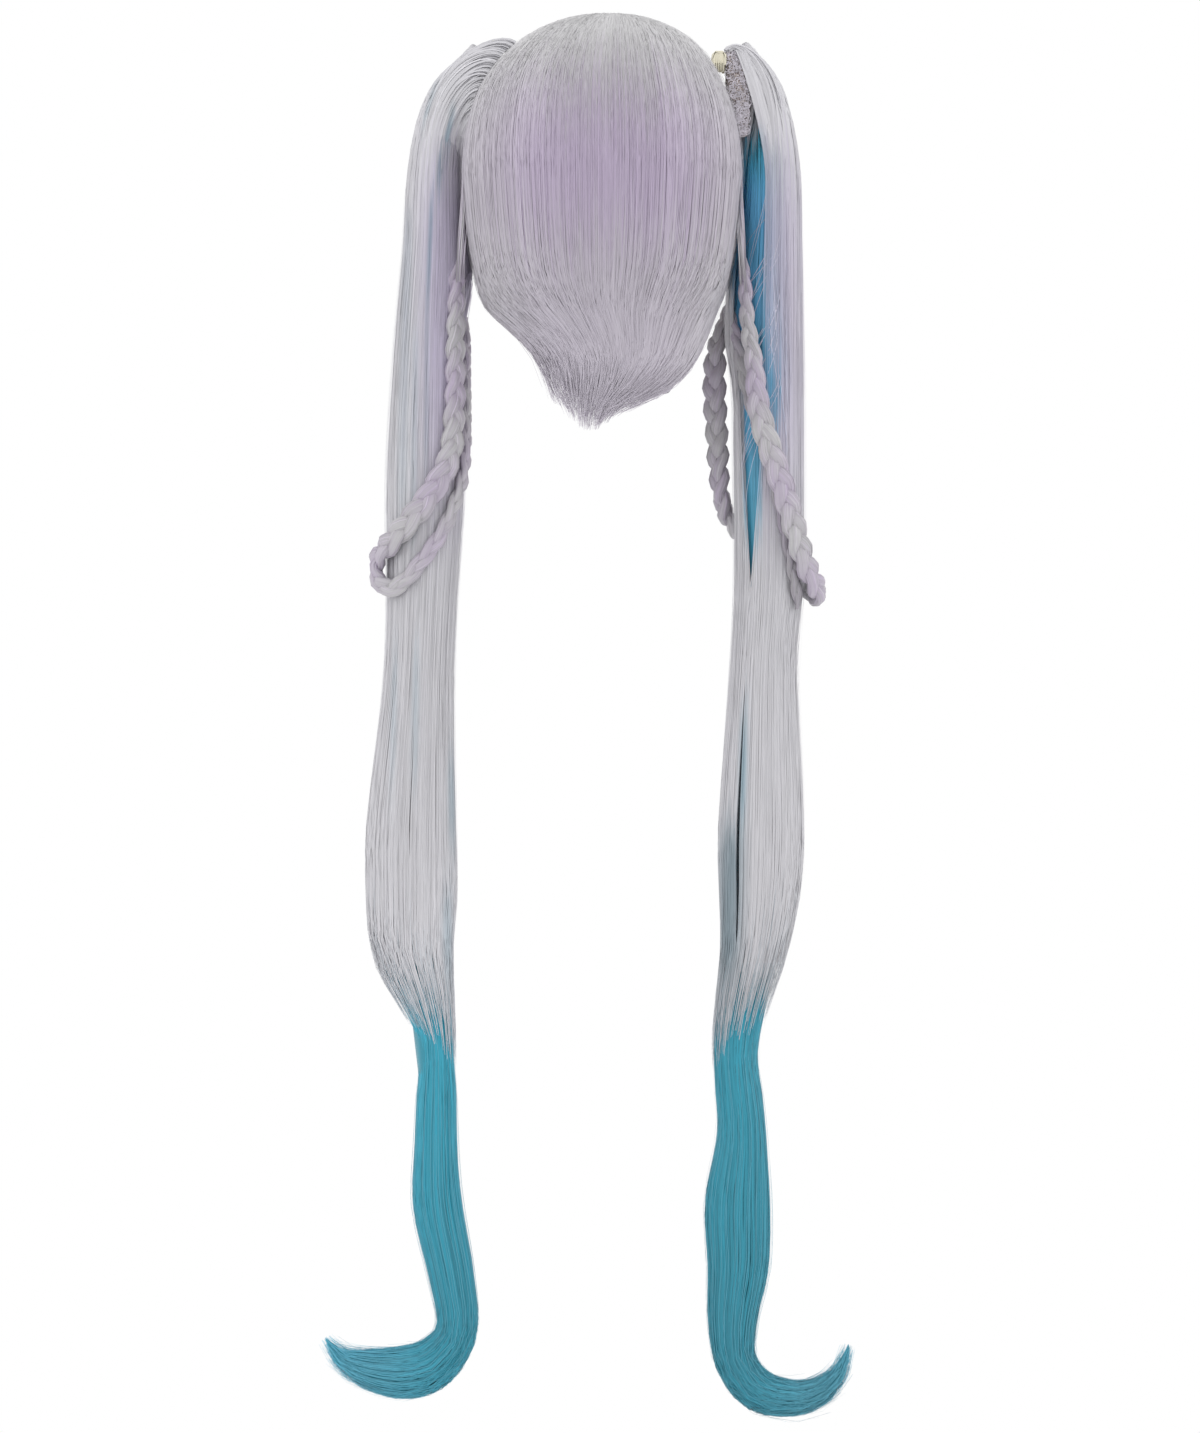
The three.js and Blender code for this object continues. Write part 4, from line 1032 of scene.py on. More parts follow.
def add_node(tree, kind, settings=None, links=None):
    """Adds a node, sets its properties and sockets, and links its inputs from other sockets"""
    node = tree.nodes.new(kind)
    for key, value in (settings or {}).items():
        if isinstance(key, str) and hasattr(node, key):
            setattr(node, key, value)
        else:
            node.inputs[key].default_value = value
    for key, source in (links or {}).items():
        tree.links.new(source, node.inputs[key])
    return node


def new_material(name):
    """Empty node material with its output"""
    material = bpy.data.materials.new(name)
    material.use_nodes = True
    material.node_tree.nodes.clear()
    return material, material.node_tree


def fibre_material(name, silver, lilac, blue, steel, roughness):
    """Kanekalon-type synthetic fibre, drawn fine and heat-set straight: satin, with a faint silky sheen.

    Fine fibre lines run along each strand. They are drawn coarser than real hair, which is too thin
    to show, so that the strand still reads as many hairs.
    """
    material, tree = new_material(name)
    fibre = add_node(tree, "ShaderNodeAttribute", {"attribute_name": "fibre"})
    tone = add_node(tree, "ShaderNodeAttribute", {"attribute_name": "tone"})
    lilac_share = add_node(tree, "ShaderNodeAttribute", {"attribute_name": "lilac"})
    blue_share = add_node(tree, "ShaderNodeAttribute", {"attribute_name": "blue"})
    lines = add_node(tree, "ShaderNodeTexNoise", {"Scale": 1.0, "Detail": 2.0, "Roughness": 0.6},
                     {"Vector": fibre.outputs["Vector"]})
    shade = add_node(tree, "ShaderNodeMapRange",
                     {"From Min": 0.3, "From Max": 0.7, "To Min": 0.88, "To Max": 1.06},
                     {"Value": lines.outputs["Fac"]})
    strength = add_node(tree, "ShaderNodeMath", {"operation": "MULTIPLY"},
                        {0: tone.outputs["Fac"], 1: shade.outputs["Result"]})
    dyed = add_node(tree, "ShaderNodeMix", {"data_type": "RGBA", 6: (*silver, 1), 7: (*lilac, 1)},
                    {0: lilac_share.outputs["Fac"]})
    bluish = add_node(tree, "ShaderNodeMix", {"data_type": "RGBA", 6: (*blue, 1), 7: (*steel, 1)},
                      {0: lilac_share.outputs["Fac"]})
    streaked = add_node(tree, "ShaderNodeMix", {"data_type": "RGBA"},
                        {0: blue_share.outputs["Fac"], 6: dyed.outputs[2], 7: bluish.outputs[2]})
    shaded = add_node(tree, "ShaderNodeVectorMath", {"operation": "SCALE"},
                      {0: streaked.outputs[2], "Scale": strength.outputs[0]})
    bump = add_node(tree, "ShaderNodeBump", {"Strength": 0.2, "Distance": 0.1 * MM},
                    {"Height": lines.outputs["Fac"]})
    surface = add_node(tree, "ShaderNodeBsdfPrincipled",
                       {"Roughness": roughness, "IOR": 1.5, "Specular IOR Level": 0.45,
                        "Sheen Weight": 0.15, "Sheen Roughness": 0.4},
                       {"Base Color": shaded.outputs[0], "Normal": bump.outputs[0]})
    add_node(tree, "ShaderNodeOutputMaterial", links={"Surface": surface.outputs[0]})
    return material


def plastic_material(name, colour):
    """Moulded ABS: cream, half-gloss, with a faint mottle from the mould"""
    material, tree = new_material(name)
    place = add_node(tree, "ShaderNodeTexCoord")
    mottle = add_node(tree, "ShaderNodeTexNoise", {"Scale": 1 / (2.5 * MM), "Detail": 3.0},
                      {"Vector": place.outputs["Object"]})
    tint = add_node(tree, "ShaderNodeMix",
                    {"data_type": "RGBA", 6: (*[c * 0.86 for c in colour], 1), 7: (*colour, 1)},
                    {0: mottle.outputs["Fac"]})
    gloss = add_node(tree, "ShaderNodeMapRange", {"To Min": 0.28, "To Max": 0.45},
                     {"Value": mottle.outputs["Fac"]})
    bump = add_node(tree, "ShaderNodeBump", {"Strength": 0.15, "Distance": 0.1 * MM},
                    {"Height": mottle.outputs["Fac"]})
    surface = add_node(tree, "ShaderNodeBsdfPrincipled", {"IOR": 1.53},
                       {"Base Color": tint.outputs[2], "Roughness": gloss.outputs[0],
                        "Normal": bump.outputs[0]})
    add_node(tree, "ShaderNodeOutputMaterial", links={"Surface": surface.outputs[0]})
    return material


def net_material(name, thread, gap, pitch, row_pitch=0):
    """Knitted nylon net: threads over a darker ground, a few millimetres apart, so that it reads as mesh

    A row pitch adds the stitched rows of weft that a wig's cap carries.
    """
    material, tree = new_material(name)
    place = add_node(tree, "ShaderNodeTexCoord")
    cells = add_node(tree, "ShaderNodeTexVoronoi", {"feature": "DISTANCE_TO_EDGE", "Scale": 1 / pitch},
                     {"Vector": place.outputs["Object"]})
    threads = add_node(tree, "ShaderNodeMapRange",
                       {"From Min": 0.05, "From Max": 0.2, "To Min": 1.0, "To Max": 0.0},
                       {"Value": cells.outputs["Distance"]})
    fuzz = add_node(tree, "ShaderNodeTexNoise", {"Scale": 1 / (0.8 * MM), "Detail": 3.0},
                    {"Vector": place.outputs["Object"]})
    ground = add_node(tree, "ShaderNodeMix",
                      {"data_type": "RGBA", 6: (*[c * 0.7 for c in gap], 1), 7: (*gap, 1)},
                      {0: fuzz.outputs["Fac"]})
    height = threads.outputs[0]
    if row_pitch:
        axes = add_node(tree, "ShaderNodeSeparateXYZ", links={0: place.outputs["Object"]})
        turns = add_node(tree, "ShaderNodeMath", {"operation": "MULTIPLY", 1: 2 * math.pi / row_pitch},
                         {0: axes.outputs["Z"]})
        wave = add_node(tree, "ShaderNodeMath", {"operation": "SINE"}, {0: turns.outputs[0]})
        row = add_node(tree, "ShaderNodeMapRange", {"From Min": 0.5, "From Max": 0.8},
                       {"Value": wave.outputs[0]})
        sewn = add_node(tree, "ShaderNodeMath", {"operation": "MAXIMUM"}, {0: height, 1: row.outputs[0]})
        height = sewn.outputs[0]
    tint = add_node(tree, "ShaderNodeMix", {"data_type": "RGBA", 7: (*thread, 1)},
                    {0: height, 6: ground.outputs[2]})
    bump = add_node(tree, "ShaderNodeBump", {"Strength": 0.8, "Distance": 0.4 * MM}, {"Height": height})
    surface = add_node(tree, "ShaderNodeBsdfPrincipled", {"Roughness": 0.8, "IOR": 1.5, "Sheen Weight": 0.3},
                       {"Base Color": tint.outputs[2], "Normal": bump.outputs[0]})
    add_node(tree, "ShaderNodeOutputMaterial", links={"Surface": surface.outputs[0]})
    return material


def hair_material(roughness=0.42):
    """The one fibre material of head hair, silver layer, blue hair and plaits"""
    found = bpy.data.materials.get("Synthetic hair fibre")
    if found:
        return found
    colours = bpy.context.scene.wig_colours
    return fibre_material("Synthetic hair fibre", tuple(colours.silver), tuple(colours.lilac),
                          tuple(colours.blue), tuple(colours.steel), roughness)


class WigSizes(bpy.types.PropertyGroup):
    """Sizes that a user would change"""

    strand_width: bpy.props.FloatProperty(
        name="Strand width", description="Width of one combed strand",
        default=0.9 * MM, unit="LENGTH", precision=5)
    flyaway_width: bpy.props.FloatProperty(
        name="Flyaway width", description="Width of a loose hair that stands off the combed hair",
        default=0.35 * MM, unit="LENGTH", precision=5)
    head_strands: bpy.props.IntProperty(
        name="Head strands", description="Strands over the back of the head", default=1700, min=10)
    tail_strands: bpy.props.IntProperty(
        name="Pigtail strands", description="Strands on the silver layer of one pigtail",
        default=900, min=10)
    floor_drop: bpy.props.FloatProperty(
        name="Floor drop", description="Height of the floor under the crown of the cap",
        default=1.25, unit="LENGTH")


class WigColours(bpy.types.PropertyGroup):
    """Colours that a user would change"""

    silver: bpy.props.FloatVectorProperty(
        name="Silver", description="Undyed silver fibre", subtype="COLOR", size=3,
        default=hex_to_linear("#cfced0"))
    lilac: bpy.props.FloatVectorProperty(
        name="Lilac", description="Lilac band and streaks in the silver fibre", subtype="COLOR", size=3,
        default=hex_to_linear("#c8b9d3"))
    blue: bpy.props.FloatVectorProperty(
        name="Blue", description="Blue under-layer, tips and streaks", subtype="COLOR", size=3,
        default=hex_to_linear("#2a93aa"))
    steel: bpy.props.FloatVectorProperty(
        name="Steel blue", description="Blue hair where it lies in lilac hair", subtype="COLOR", size=3,
        default=hex_to_linear("#4a90b8"))
    clip: bpy.props.FloatVectorProperty(
        name="Clip", description="Plastic of the claw clips", subtype="COLOR", size=3,
        default=hex_to_linear("#ece6cf"))
    net: bpy.props.FloatVectorProperty(
        name="Net", description="Thread of the net cap and bases", subtype="COLOR", size=3,
        default=hex_to_linear("#cbbfba"))


class WIG_OT_stage(bpy.types.Operator):
    """Pale floor, soft studio lights and the camera at the photograph's angle"""

    bl_idname = "wig.stage"
    bl_label = "Stage"

    def execute(self, context):
        drop = context.scene.wig_sizes.floor_drop
        deselect_all()
        bpy.ops.mesh.primitive_circle_add(vertices=96, radius=FLOOR_RADIUS, fill_type="NGON",
                                          location=(0, 0, -drop))
        floor = context.object
        floor.name = "studio_floor"
        bpy.ops.object.transform_apply(location=True)
        material, tree = new_material("White studio paper")
        place = add_node(tree, "ShaderNodeTexCoord")
        grain = add_node(tree, "ShaderNodeTexNoise", {"Scale": 40.0, "Detail": 3.0},
                         {"Vector": place.outputs["Object"]})
        tint = add_node(tree, "ShaderNodeMapRange", {"To Min": 0.86, "To Max": 0.9},
                        {"Value": grain.outputs["Fac"]})
        surface = add_node(tree, "ShaderNodeBsdfPrincipled", {"Roughness": 0.9},
                           {"Base Color": tint.outputs[0]})
        add_node(tree, "ShaderNodeOutputMaterial", links={"Surface": surface.outputs[0]})
        floor.data.materials.append(material)

        world = bpy.data.worlds.new("Soft white studio")
        context.scene.world = world
        world.use_nodes = True
        tree = world.node_tree
        tree.nodes.clear()
        light = add_node(tree, "ShaderNodeBackground", {"Color": (1, 1, 1, 1), "Strength": 1.0})
        add_node(tree, "ShaderNodeOutputWorld", links={"Surface": light.outputs[0]})

        for name, place, size, power in STUDIO_LIGHTS:
            bpy.ops.object.light_add(type="AREA", location=place)
            lamp = context.object
            lamp.name = name
            lamp.data.size = size
            lamp.data.energy = power
            heading = Vector(LIGHT_AIM) - Vector(place)
            lamp.rotation_euler = heading.to_track_quat("-Z", "Y").to_euler()

        bpy.ops.object.camera_add(location=CAMERA_PLACE, rotation=(math.pi / 2, 0, 0))
        camera = context.object
        camera.data.sensor_width = SENSOR_WIDTH
        camera.data.lens = SENSOR_WIDTH * CAMERA_DISTANCE / PICTURE_HEIGHT
        camera.data.clip_end = 50
        context.scene.camera = camera
        context.scene.view_settings.view_transform = "Standard"
        return {"FINISHED"}


def lift_lower_edge(piece):
    """Draws the lower edge of a base form up under the strands, so that only strands form the tips"""
    points = mesh_points(piece)
    turns = np.degrees(np.arctan2(points[:, 0], -points[:, 1]))
    above = points[:, 2] - head_edge(turns)
    points[:, 2] += 6 * MM * (1 - smooth_step(above, 0, 24 * MM))
    piece.data.vertices.foreach_set("co", points.ravel())
    piece.data.update()


class WIG_OT_head_hair(bpy.types.Operator):
    """Head hair: combed strands over a smooth form, at the back and at the front"""

    bl_idname = "wig.head_hair"
    bl_label = "Head hair"

    def execute(self, context):
        sizes = context.scene.wig_sizes
        material = hair_material()
        halves = [
            ("back", comb_back, sizes.head_strands, 18, 11),
            ("front", comb_front, FRONT_STRANDS, 13, 23),
        ]
        for half, comb, count, sections, seed in halves:
            base = base_form(f"{half}_hair_form", f"{half}_hair", 0.8 * MM, 1)
            lift_lower_edge(base)
            points = mesh_points(base)
            around = np.arctan2(points[:, 0], -points[:, 1]) * HAIR_HALF_WIDTH
            colour_base(base, around, 0.86, head_dye_and_painted_light(points))
            finish_piece(base, material, [f"{half}_hair"])
            rng = np.random.default_rng(seed + 1000)
            routes, outward = comb(count, sections, seed)
            widths = tapered(count, sections, sizes.strand_width, rng) * crown_fineness(routes)
            strands = lay_strands(f"{half}_hair_strands", routes, outward, widths, seed, tone=(0.05, 1.0),
                                  tints=head_dye_and_painted_light(routes, rng))
            finish_piece(strands, material)
        count = HEAD_FLYAWAYS
        rng = np.random.default_rng(1031)
        routes, outward = comb_back(count, 14, 31, loose=2.2 * MM)
        widths = tapered(count, 14, sizes.flyaway_width, rng)
        loose = lay_strands("head_flyaways", routes, outward, widths, 31, tone=(0.05, 1.12),
                            tints=head_dye_and_painted_light(routes, rng))
        finish_piece(loose, material)
        return {"FINISHED"}


def tail_girth(tail, points):
    """Distance round a pigtail's form at its points, for the fibre lines on it"""
    beside = points[:, 0] - tail.side * tail.x(0)
    return np.arctan2(points[:, 1] - TAIL_FORWARD, beside) * FORM_RADIUS


class WIG_OT_pigtails(bpy.types.Operator):
    """Pigtails: silver layer, blue hair under it with its curled tip, and loose hairs"""

    bl_idname = "wig.pigtails"
    bl_label = "Pigtails"

    def execute(self, context):
        sizes = context.scene.wig_sizes
        material = hair_material()
        for order, (name, tail) in enumerate(TAILS.items()):
            seed = 100 + 50 * order
            rng = np.random.default_rng(seed + 1000)
            self.add_silver(name, tail, sizes, material, rng, seed)
            self.add_blue(name, tail, sizes, material, rng, seed + 10)
        return {"FINISHED"}

    def add_silver(self, name, tail, sizes, material, rng, seed):
        """Silver layer: a form that is cut short, and strands that end in ragged tips"""
        base = base_form(f"pigtail_silver_form_{name}", f"pigtail_silver_{name}", 0.9 * MM, 0)
        cut = float(tail.z(np.array(tail.sheath_end - 52 * MM)))
        select_only(base)
        bpy.ops.object.mode_set(mode="EDIT")
        bpy.ops.mesh.select_all(action="SELECT")
        bpy.ops.mesh.bisect(plane_co=(0, 0, cut), plane_no=(0, 0, 1), use_fill=True, clear_inner=True)
        bpy.ops.object.mode_set(mode="OBJECT")
        points = mesh_points(base)
        colour_base(base, tail_girth(tail, points), 0.88, tail_dye_and_painted_light(tail, points))
        finish_piece(base, material, [f"pigtail_silver_{name}"])

        count = sizes.tail_strands
        sections = 23
        angle = evenly(np.random.default_rng(seed), 0, 360, count)[:, 0]
        ragged = rng.uniform(-1, 0.1, count)
        end = tail.sheath_end - SHEATH_SLANT * np.cos(np.radians(angle)) + 62 * MM * ragged
        start = np.where(rng.uniform(0, 1, count) < 0.7, 0, rng.uniform(0, 90, count) * MM)
        routes, outward = comb_tail(tail, count, sections, start, end, seed, dome=True)
        tints = tail_dye_and_painted_light(tail, routes, rng)
        share = np.linspace(0, 1, sections)[None, :]
        bluish_tip = 0.30 * smooth_step(share, 0.9, 1) * rng.uniform(0, 1, (count, 1))
        tints["blue"] = np.maximum(tints["blue"], bluish_tip)
        widths = tapered(count, sections, sizes.strand_width * 1.05, rng, tip_share=0.12)
        strands = lay_strands(f"pigtail_silver_strands_{name}", routes, outward, widths, seed,
                              tone=(0.05, 0.95), tints=tints)
        finish_piece(strands, material)

        count = CREST_STRANDS[name]
        routes, outward = comb_crest(tail, count, seed + 6)
        widths = tapered(count, routes.shape[1], sizes.strand_width * 1.7, rng, root_share=0)
        crest = lay_strands(f"pigtail_crest_{name}", routes, outward, widths, seed + 6, tone=(0.07, 1.04),
                            tints=tail_dye_and_painted_light(tail, routes, rng), softness=0.92)
        finish_piece(crest, material)

        count = SILVER_FLYAWAYS
        end = tail.sheath_end - rng.uniform(0, 200, count) * MM
        routes, outward = comb_tail(tail, count, 16, 5 * MM, end, seed + 3, loose=2.5 * MM)
        widths = tapered(count, 16, sizes.flyaway_width, rng)
        loose = lay_strands(f"pigtail_flyaways_{name}", routes, outward, widths, seed + 3, tone=(0.05, 1.12),
                            tints=tail_dye_and_painted_light(tail, routes, rng))
        finish_piece(loose, material)

    def add_blue(self, name, tail, sizes, material, rng, seed):
        """Blue hair: its form, strands to the curled tip, and the strands that the slit shows"""
        base = base_form(f"pigtail_blue_form_{name}", f"pigtail_blue_{name}", 1.0 * MM, 0)
        points = mesh_points(base)
        tints = {"lilac": np.zeros(len(points)), "blue": np.ones(len(points))}
        colour_base(base, tail_girth(tail, points), 0.85, tints)
        finish_piece(base, material, [f"pigtail_blue_{name}"])

        count = BLUE_STRANDS
        sections = 24
        start = tail.sheath_end - rng.uniform(20, 90, count) * MM
        end = tail.length - rng.exponential(26, count) * MM
        routes, outward = comb_tail(tail, count, sections, start, end, seed, under=True, fan=2.2 * MM)
        widths = tapered(count, sections, sizes.strand_width * 1.15, rng, tip_share=0.3)
        share = (start[:, None] + (end - start)[:, None] * np.linspace(0, 1, sections)) / tail.length
        dark = np.where(rng.uniform(0, 1, (count, 1)) < 0.18, 0.78, 1.0)
        turn = np.linspace(0, 360, count)[:, None] + 40 * share
        shade = dark * np.interp(share, TIP_SHADE_PLACES, TIP_SHADES) * (1 + 0.1 * slow_streaks(turn))
        blue = 1 - 0.1 * smooth_step(share, 0.9, 0.97)
        tints = {"lilac": np.zeros((count, sections)), "blue": blue, "shade": shade}
        strands = lay_strands(f"pigtail_blue_strands_{name}", routes, outward, widths, seed,
                              tone=(0.06, 0.89 if tail.side > 0 else 1.08), tints=tints)
        finish_piece(strands, material)

        count = SLIT_STRANDS
        start = tail.along_at(-CORE_TOP_DROP) + rng.uniform(-4, 30, count) * MM
        end = tail.along_at(-0.43) - rng.uniform(0, 60, count) * MM
        angles = (SLIT_TURN - 60, SLIT_TURN + 40)
        routes, outward = comb_tail(tail, count, 14, start, end, seed + 2, angles=angles, under=True,
                                    raised=3.5 * MM)
        widths = tapered(count, 14, sizes.strand_width, rng)
        drop = -routes[..., 2] / MM
        steel = 0.85 * smooth_step(drop, 70, 112) * (1 - 0.6 * smooth_step(drop, 235, 340))
        # Painted light on the strands in the slit, where the head and the silver layer shade them: brighter
        # towards the head side and at the top, and a high tone of 1.15 all over
        turn = evenly(rng, *angles, count)
        shade = 1 + 0.75 * (1 - smooth_step(turn, SLIT_TURN - 50, SLIT_TURN - 5))
        shade = shade * (1 + 0.45 * (1 - smooth_step(drop, 100, 170)))
        tints = {"lilac": steel, "blue": np.full((count, 14), 0.95), "shade": shade}
        inner = lay_strands(f"pigtail_slit_strands_{name}", routes, outward, widths, seed + 2,
                            tone=(0.13, 1.15), tints=tints)
        finish_piece(inner, material)

        if tail.side > 0:
            count = SLIT_FLYAWAYS
            routes, outward = comb_across_slit(tail, count, 12, seed + 6)
            widths = tapered(count, 12, sizes.flyaway_width * 1.15, rng)
            tints = {"lilac": np.full((count, 12), 0.5), "blue": rng.uniform(0, 0.3, (count, 1))}
            crossing = lay_strands(f"slit_flyaways_{name}", routes, outward, widths, seed + 6,
                                   tone=(0.1, 1.1), tints=tints)
            finish_piece(crossing, material)

        count = BLUE_FLYAWAYS
        start = tail.sheath_end + rng.uniform(-60, 60, count) * MM
        end = tail.length - rng.uniform(0, 90, count) * MM
        routes, outward = comb_tail(tail, count, 16, start, end, seed + 4, under=True, loose=2.5 * MM)
        widths = tapered(count, 16, sizes.flyaway_width, rng)
        tints = {"lilac": np.zeros((count, 16)), "blue": np.full((count, 16), 0.9)}
        loose = lay_strands(f"pigtail_blue_flyaways_{name}", routes, outward, widths, seed + 4,
                            tone=(0.05, 1.1), tints=tints)
        finish_piece(loose, material)


class WIG_OT_plaits(bpy.types.Operator):
    """Three-strand plaits that loop over the pigtails"""

    bl_idname = "wig.plaits"
    bl_label = "Plaits"

    def execute(self, context):
        material = hair_material()
        plaits = [
            # plait_right's last part is darkened to 0.8 with painted shade
            ("plait_right", "right", RIGHT_LOOP_ROWS, 20, 0.84, 0.8, PLAIT_ROOT_HAIRS, 301),
            # The under plait's low tone of 0.60 is painted shade
            ("under_plait_right", "right", RIGHT_UNDER_ROWS, 14, 0.60, 1, 0, 311),
            ("plait_left", "left", LEFT_LOOP_ROWS, 20, 0.83, 1, PLAIT_ROOT_HAIRS, 321),
        ]
        for node, side, rows, filaments, tone, far_painted_shade, count, seed in plaits:
            tail = TAILS[side]
            body, hair = plait_pieces(node, tail, rows, filaments, tone, far_painted_shade, seed)
            finish_piece(body, material, [node])
            finish_piece(hair, material)
            if not count:
                continue
            rng = np.random.default_rng(seed + 1000)
            routes, outward = comb_plait_root(tail, rows, count, 12, seed + 8)
            widths = tapered(count, 12, context.scene.wig_sizes.strand_width, rng)
            tints = {"lilac": rng.uniform(0.1, 0.6, (count, 1)), "blue": np.zeros((1, 1))}
            roots = lay_strands(f"{node}_roots", routes, outward, widths, seed + 8, tone=(0.06, 0.84),
                                tints=tints)
            finish_piece(roots, material)
        return {"FINISHED"}


def add_block(low, high):
    """Block between two corners, placed in its mesh"""
    deselect_all()
    middle = [(a + b) / 2 for a, b in zip(low, high)]
    size = [b - a for a, b in zip(low, high)]
    bpy.ops.mesh.primitive_cube_add(size=1, location=middle, scale=size)
    bpy.ops.object.transform_apply(location=True, rotation=True, scale=True)
    return bpy.context.object


def round_edges(piece, width):
    """Bevels every sharp edge of a piece"""
    select_only(piece)
    edges = piece.modifiers.new("Rounded edges", "BEVEL")
    edges.width = width
    edges.segments = 2
    edges.limit_method = "ANGLE"
    bpy.ops.object.modifier_apply(modifier=edges.name)


def comb_tooth(low, high):
    """Tooth of a clip's comb: a short block drawn down to a thin rounded tip"""
    tooth = add_block(low, high)
    for face in tooth.data.polygons:
        face.select = face.normal.z < -0.9
    bpy.ops.object.mode_set(mode="EDIT")
    bpy.ops.mesh.select_mode(type="FACE")
    for length, narrowing in TOOTH_STEPS:
        bpy.ops.mesh.extrude_region_move(TRANSFORM_OT_translate={"value": (0, 0.1 * length, -length)})
        bpy.ops.transform.resize(value=(narrowing, narrowing, 1))
    bpy.ops.object.mode_set(mode="OBJECT")
    round_edges(tooth, 0.1 * MM)
    return tooth


class WIG_OT_clips(bpy.types.Operator):
    """Claw clips of moulded plastic: a channel with rounded edges, closed ends and a fine comb"""

    bl_idname = "wig.clips"
    bl_label = "Claw clips"

    def execute(self, context):
        material = plastic_material("Moulded ABS plastic", tuple(context.scene.wig_colours.clip))
        for name in TAILS:
            clip = base_form(f"claw_clip_form_{name}", f"claw_clip_{name}", 0, 0)
            round_edges(clip, 0.35 * MM)
            low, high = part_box(f"claw_clip_{name}")
            parts = []
            for y in (low.y + 0.3 * MM, high.y - 1.8 * MM):
                plate = add_block((low.x + CLIP_WALL, y, low.z + 1 * MM),
                                  (high.x - CLIP_WALL, y + 1.5 * MM, high.z - CLIP_WALL))
                round_edges(plate, 0.3 * MM)
                parts.append(plate)
            for order in range(TOOTH_COUNT):
                beside = low.x + 1.6 * MM + order * TOOTH_PITCH
                tooth = comb_tooth((beside, low.y + 0.1 * MM, low.z - 0.5 * MM),
                                   (beside + TOOTH_WIDTH, low.y + 1.1 * MM, low.z + 2.5 * MM))
                parts.append(tooth)
            deselect_all()
            for part in (*parts, clip):
                part.select_set(True)
            context.view_layer.objects.active = clip
            bpy.ops.object.join()
            bpy.ops.object.shade_smooth_by_angle(angle=math.radians(35))
            finish_piece(clip, material, [f"claw_clip_{name}"])
        return {"FINISHED"}


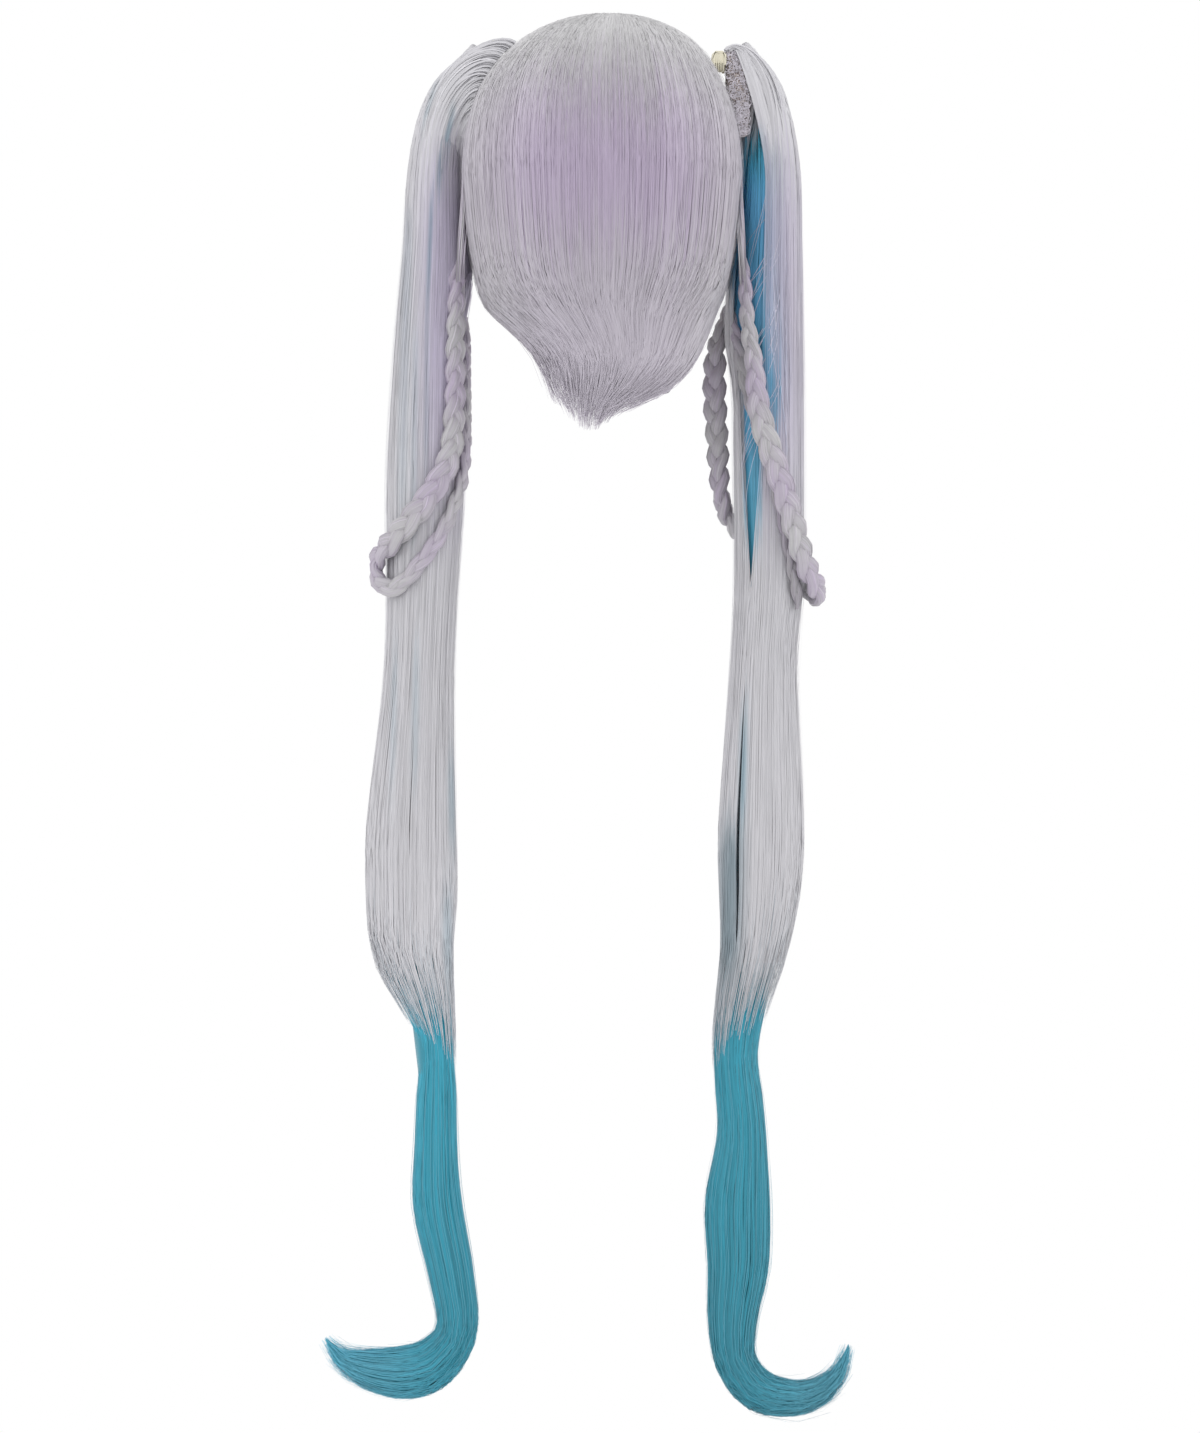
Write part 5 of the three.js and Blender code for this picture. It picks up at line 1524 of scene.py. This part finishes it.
class WIG_OT_weft_bases(bpy.types.Operator):
    """Net bases that carry the pigtails, with knotted mesh and short curled fibre ends"""

    bl_idname = "wig.weft_bases"
    bl_label = "Weft bases"

    def execute(self, context):
        colours = context.scene.wig_colours
        net = net_material("Knitted nylon net", tuple(colours.net), hex_to_linear("#938789"), 1.6 * MM)
        hair = hair_material()
        for order, (name, tail) in enumerate(TAILS.items()):
            node = f"weft_base_{name}"
            base = base_form(f"weft_form_{name}", node, 0, 0)
            points = mesh_points(base)
            finish_piece(base, net, [node])
            rng = np.random.default_rng(400 + order)
            levels = np.unique(np.round(points[:, 2], 5))
            low_x = np.array([points[np.abs(points[:, 2] - z) < 1e-4, 0].min() for z in levels])
            high_x = np.array([points[np.abs(points[:, 2] - z) < 1e-4, 0].max() for z in levels])
            back, front = points[:, 1].min(), points[:, 1].max()
            routes, outward = [], []
            count = NET_STUBS
            share = np.linspace(0, 1, 8)
            for _ in range(count):
                z = rng.uniform(levels[0] + 1 * MM, levels[-1])
                f = rng.uniform(0.02, 0.98)
                x = np.interp(z, levels, low_x) * (1 - f) + np.interp(z, levels, high_x) * f
                face = back if rng.uniform() < 0.75 else front
                out = -1 if face == back else 1
                radius = rng.uniform(0.7, 2.2) * MM
                first = rng.uniform(0, 2 * math.pi)
                sweep = first + share * rng.uniform(2.5, 5.5)
                height = face + out * (0.4 + 1.1 * np.sin(share * math.pi)) * MM
                ring = [x + radius * np.cos(sweep), height, z + radius * np.sin(sweep)]
                routes.append(np.stack(ring, axis=-1))
                outward.append(np.tile([0.0, out, 0.0], (8, 1)))
            tints = {"lilac": np.full((count, 8), 0.3), "blue": np.zeros((count, 8))}
            stubs = lay_strands(f"weft_stubs_{name}", np.array(routes), np.array(outward),
                                np.full((count, 8), 0.45 * MM), 410 + order, tone=(0.14, 1.05), tints=tints)
            finish_piece(stubs, hair)
        return {"FINISHED"}


class WIG_OT_net_cap(bpy.types.Operator):
    """Net cap of stretch net with stitched rows of weft"""

    bl_idname = "wig.net_cap"
    bl_label = "Net cap"

    def execute(self, context):
        colours = context.scene.wig_colours
        net = net_material("Stretch cap net", tuple(colours.net), hex_to_linear("#8b8082"), 2.4 * MM, 14 * MM)
        cap = base_form("net_cap_form", "net_cap", 0, 1)
        finish_piece(cap, net, ["net_cap"])
        return {"FINISHED"}


class WIG_PT_panel(bpy.types.Panel):
    """Sidebar panel with the wig's sizes, colours and pieces"""

    bl_idname = "WIG_PT_panel"
    bl_label = "Pigtail Wig"
    bl_space_type = "VIEW_3D"
    bl_region_type = "UI"
    bl_category = "Pigtail Wig"

    def draw(self, context):
        for group in (context.scene.wig_sizes, context.scene.wig_colours):
            for name in group.bl_rna.properties.keys():
                if name not in ("rna_type", "name"):
                    self.layout.prop(group, name)
        for operator in OPERATORS:
            self.layout.operator(operator.bl_idname)


OPERATORS = (
    WIG_OT_stage,
    WIG_OT_head_hair,
    WIG_OT_pigtails,
    WIG_OT_plaits,
    WIG_OT_clips,
    WIG_OT_weft_bases,
    WIG_OT_net_cap,
)
CLASSES = (WigSizes, WigColours, *OPERATORS, WIG_PT_panel)


def register():
    for cls in CLASSES:
        bpy.utils.register_class(cls)
    bpy.types.Scene.wig_sizes = bpy.props.PointerProperty(type=WigSizes)
    bpy.types.Scene.wig_colours = bpy.props.PointerProperty(type=WigColours)


def unregister():
    del bpy.types.Scene.wig_colours
    del bpy.types.Scene.wig_sizes
    for cls in reversed(CLASSES):
        bpy.utils.unregister_class(cls)


def main():
    """Registers the add-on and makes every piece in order"""
    register()
    bpy.ops.wig.stage()
    bpy.ops.wig.net_cap()
    bpy.ops.wig.head_hair()
    bpy.ops.wig.pigtails()
    bpy.ops.wig.plaits()
    bpy.ops.wig.clips()
    bpy.ops.wig.weft_bases()


if __name__ == "__main__":
    main()
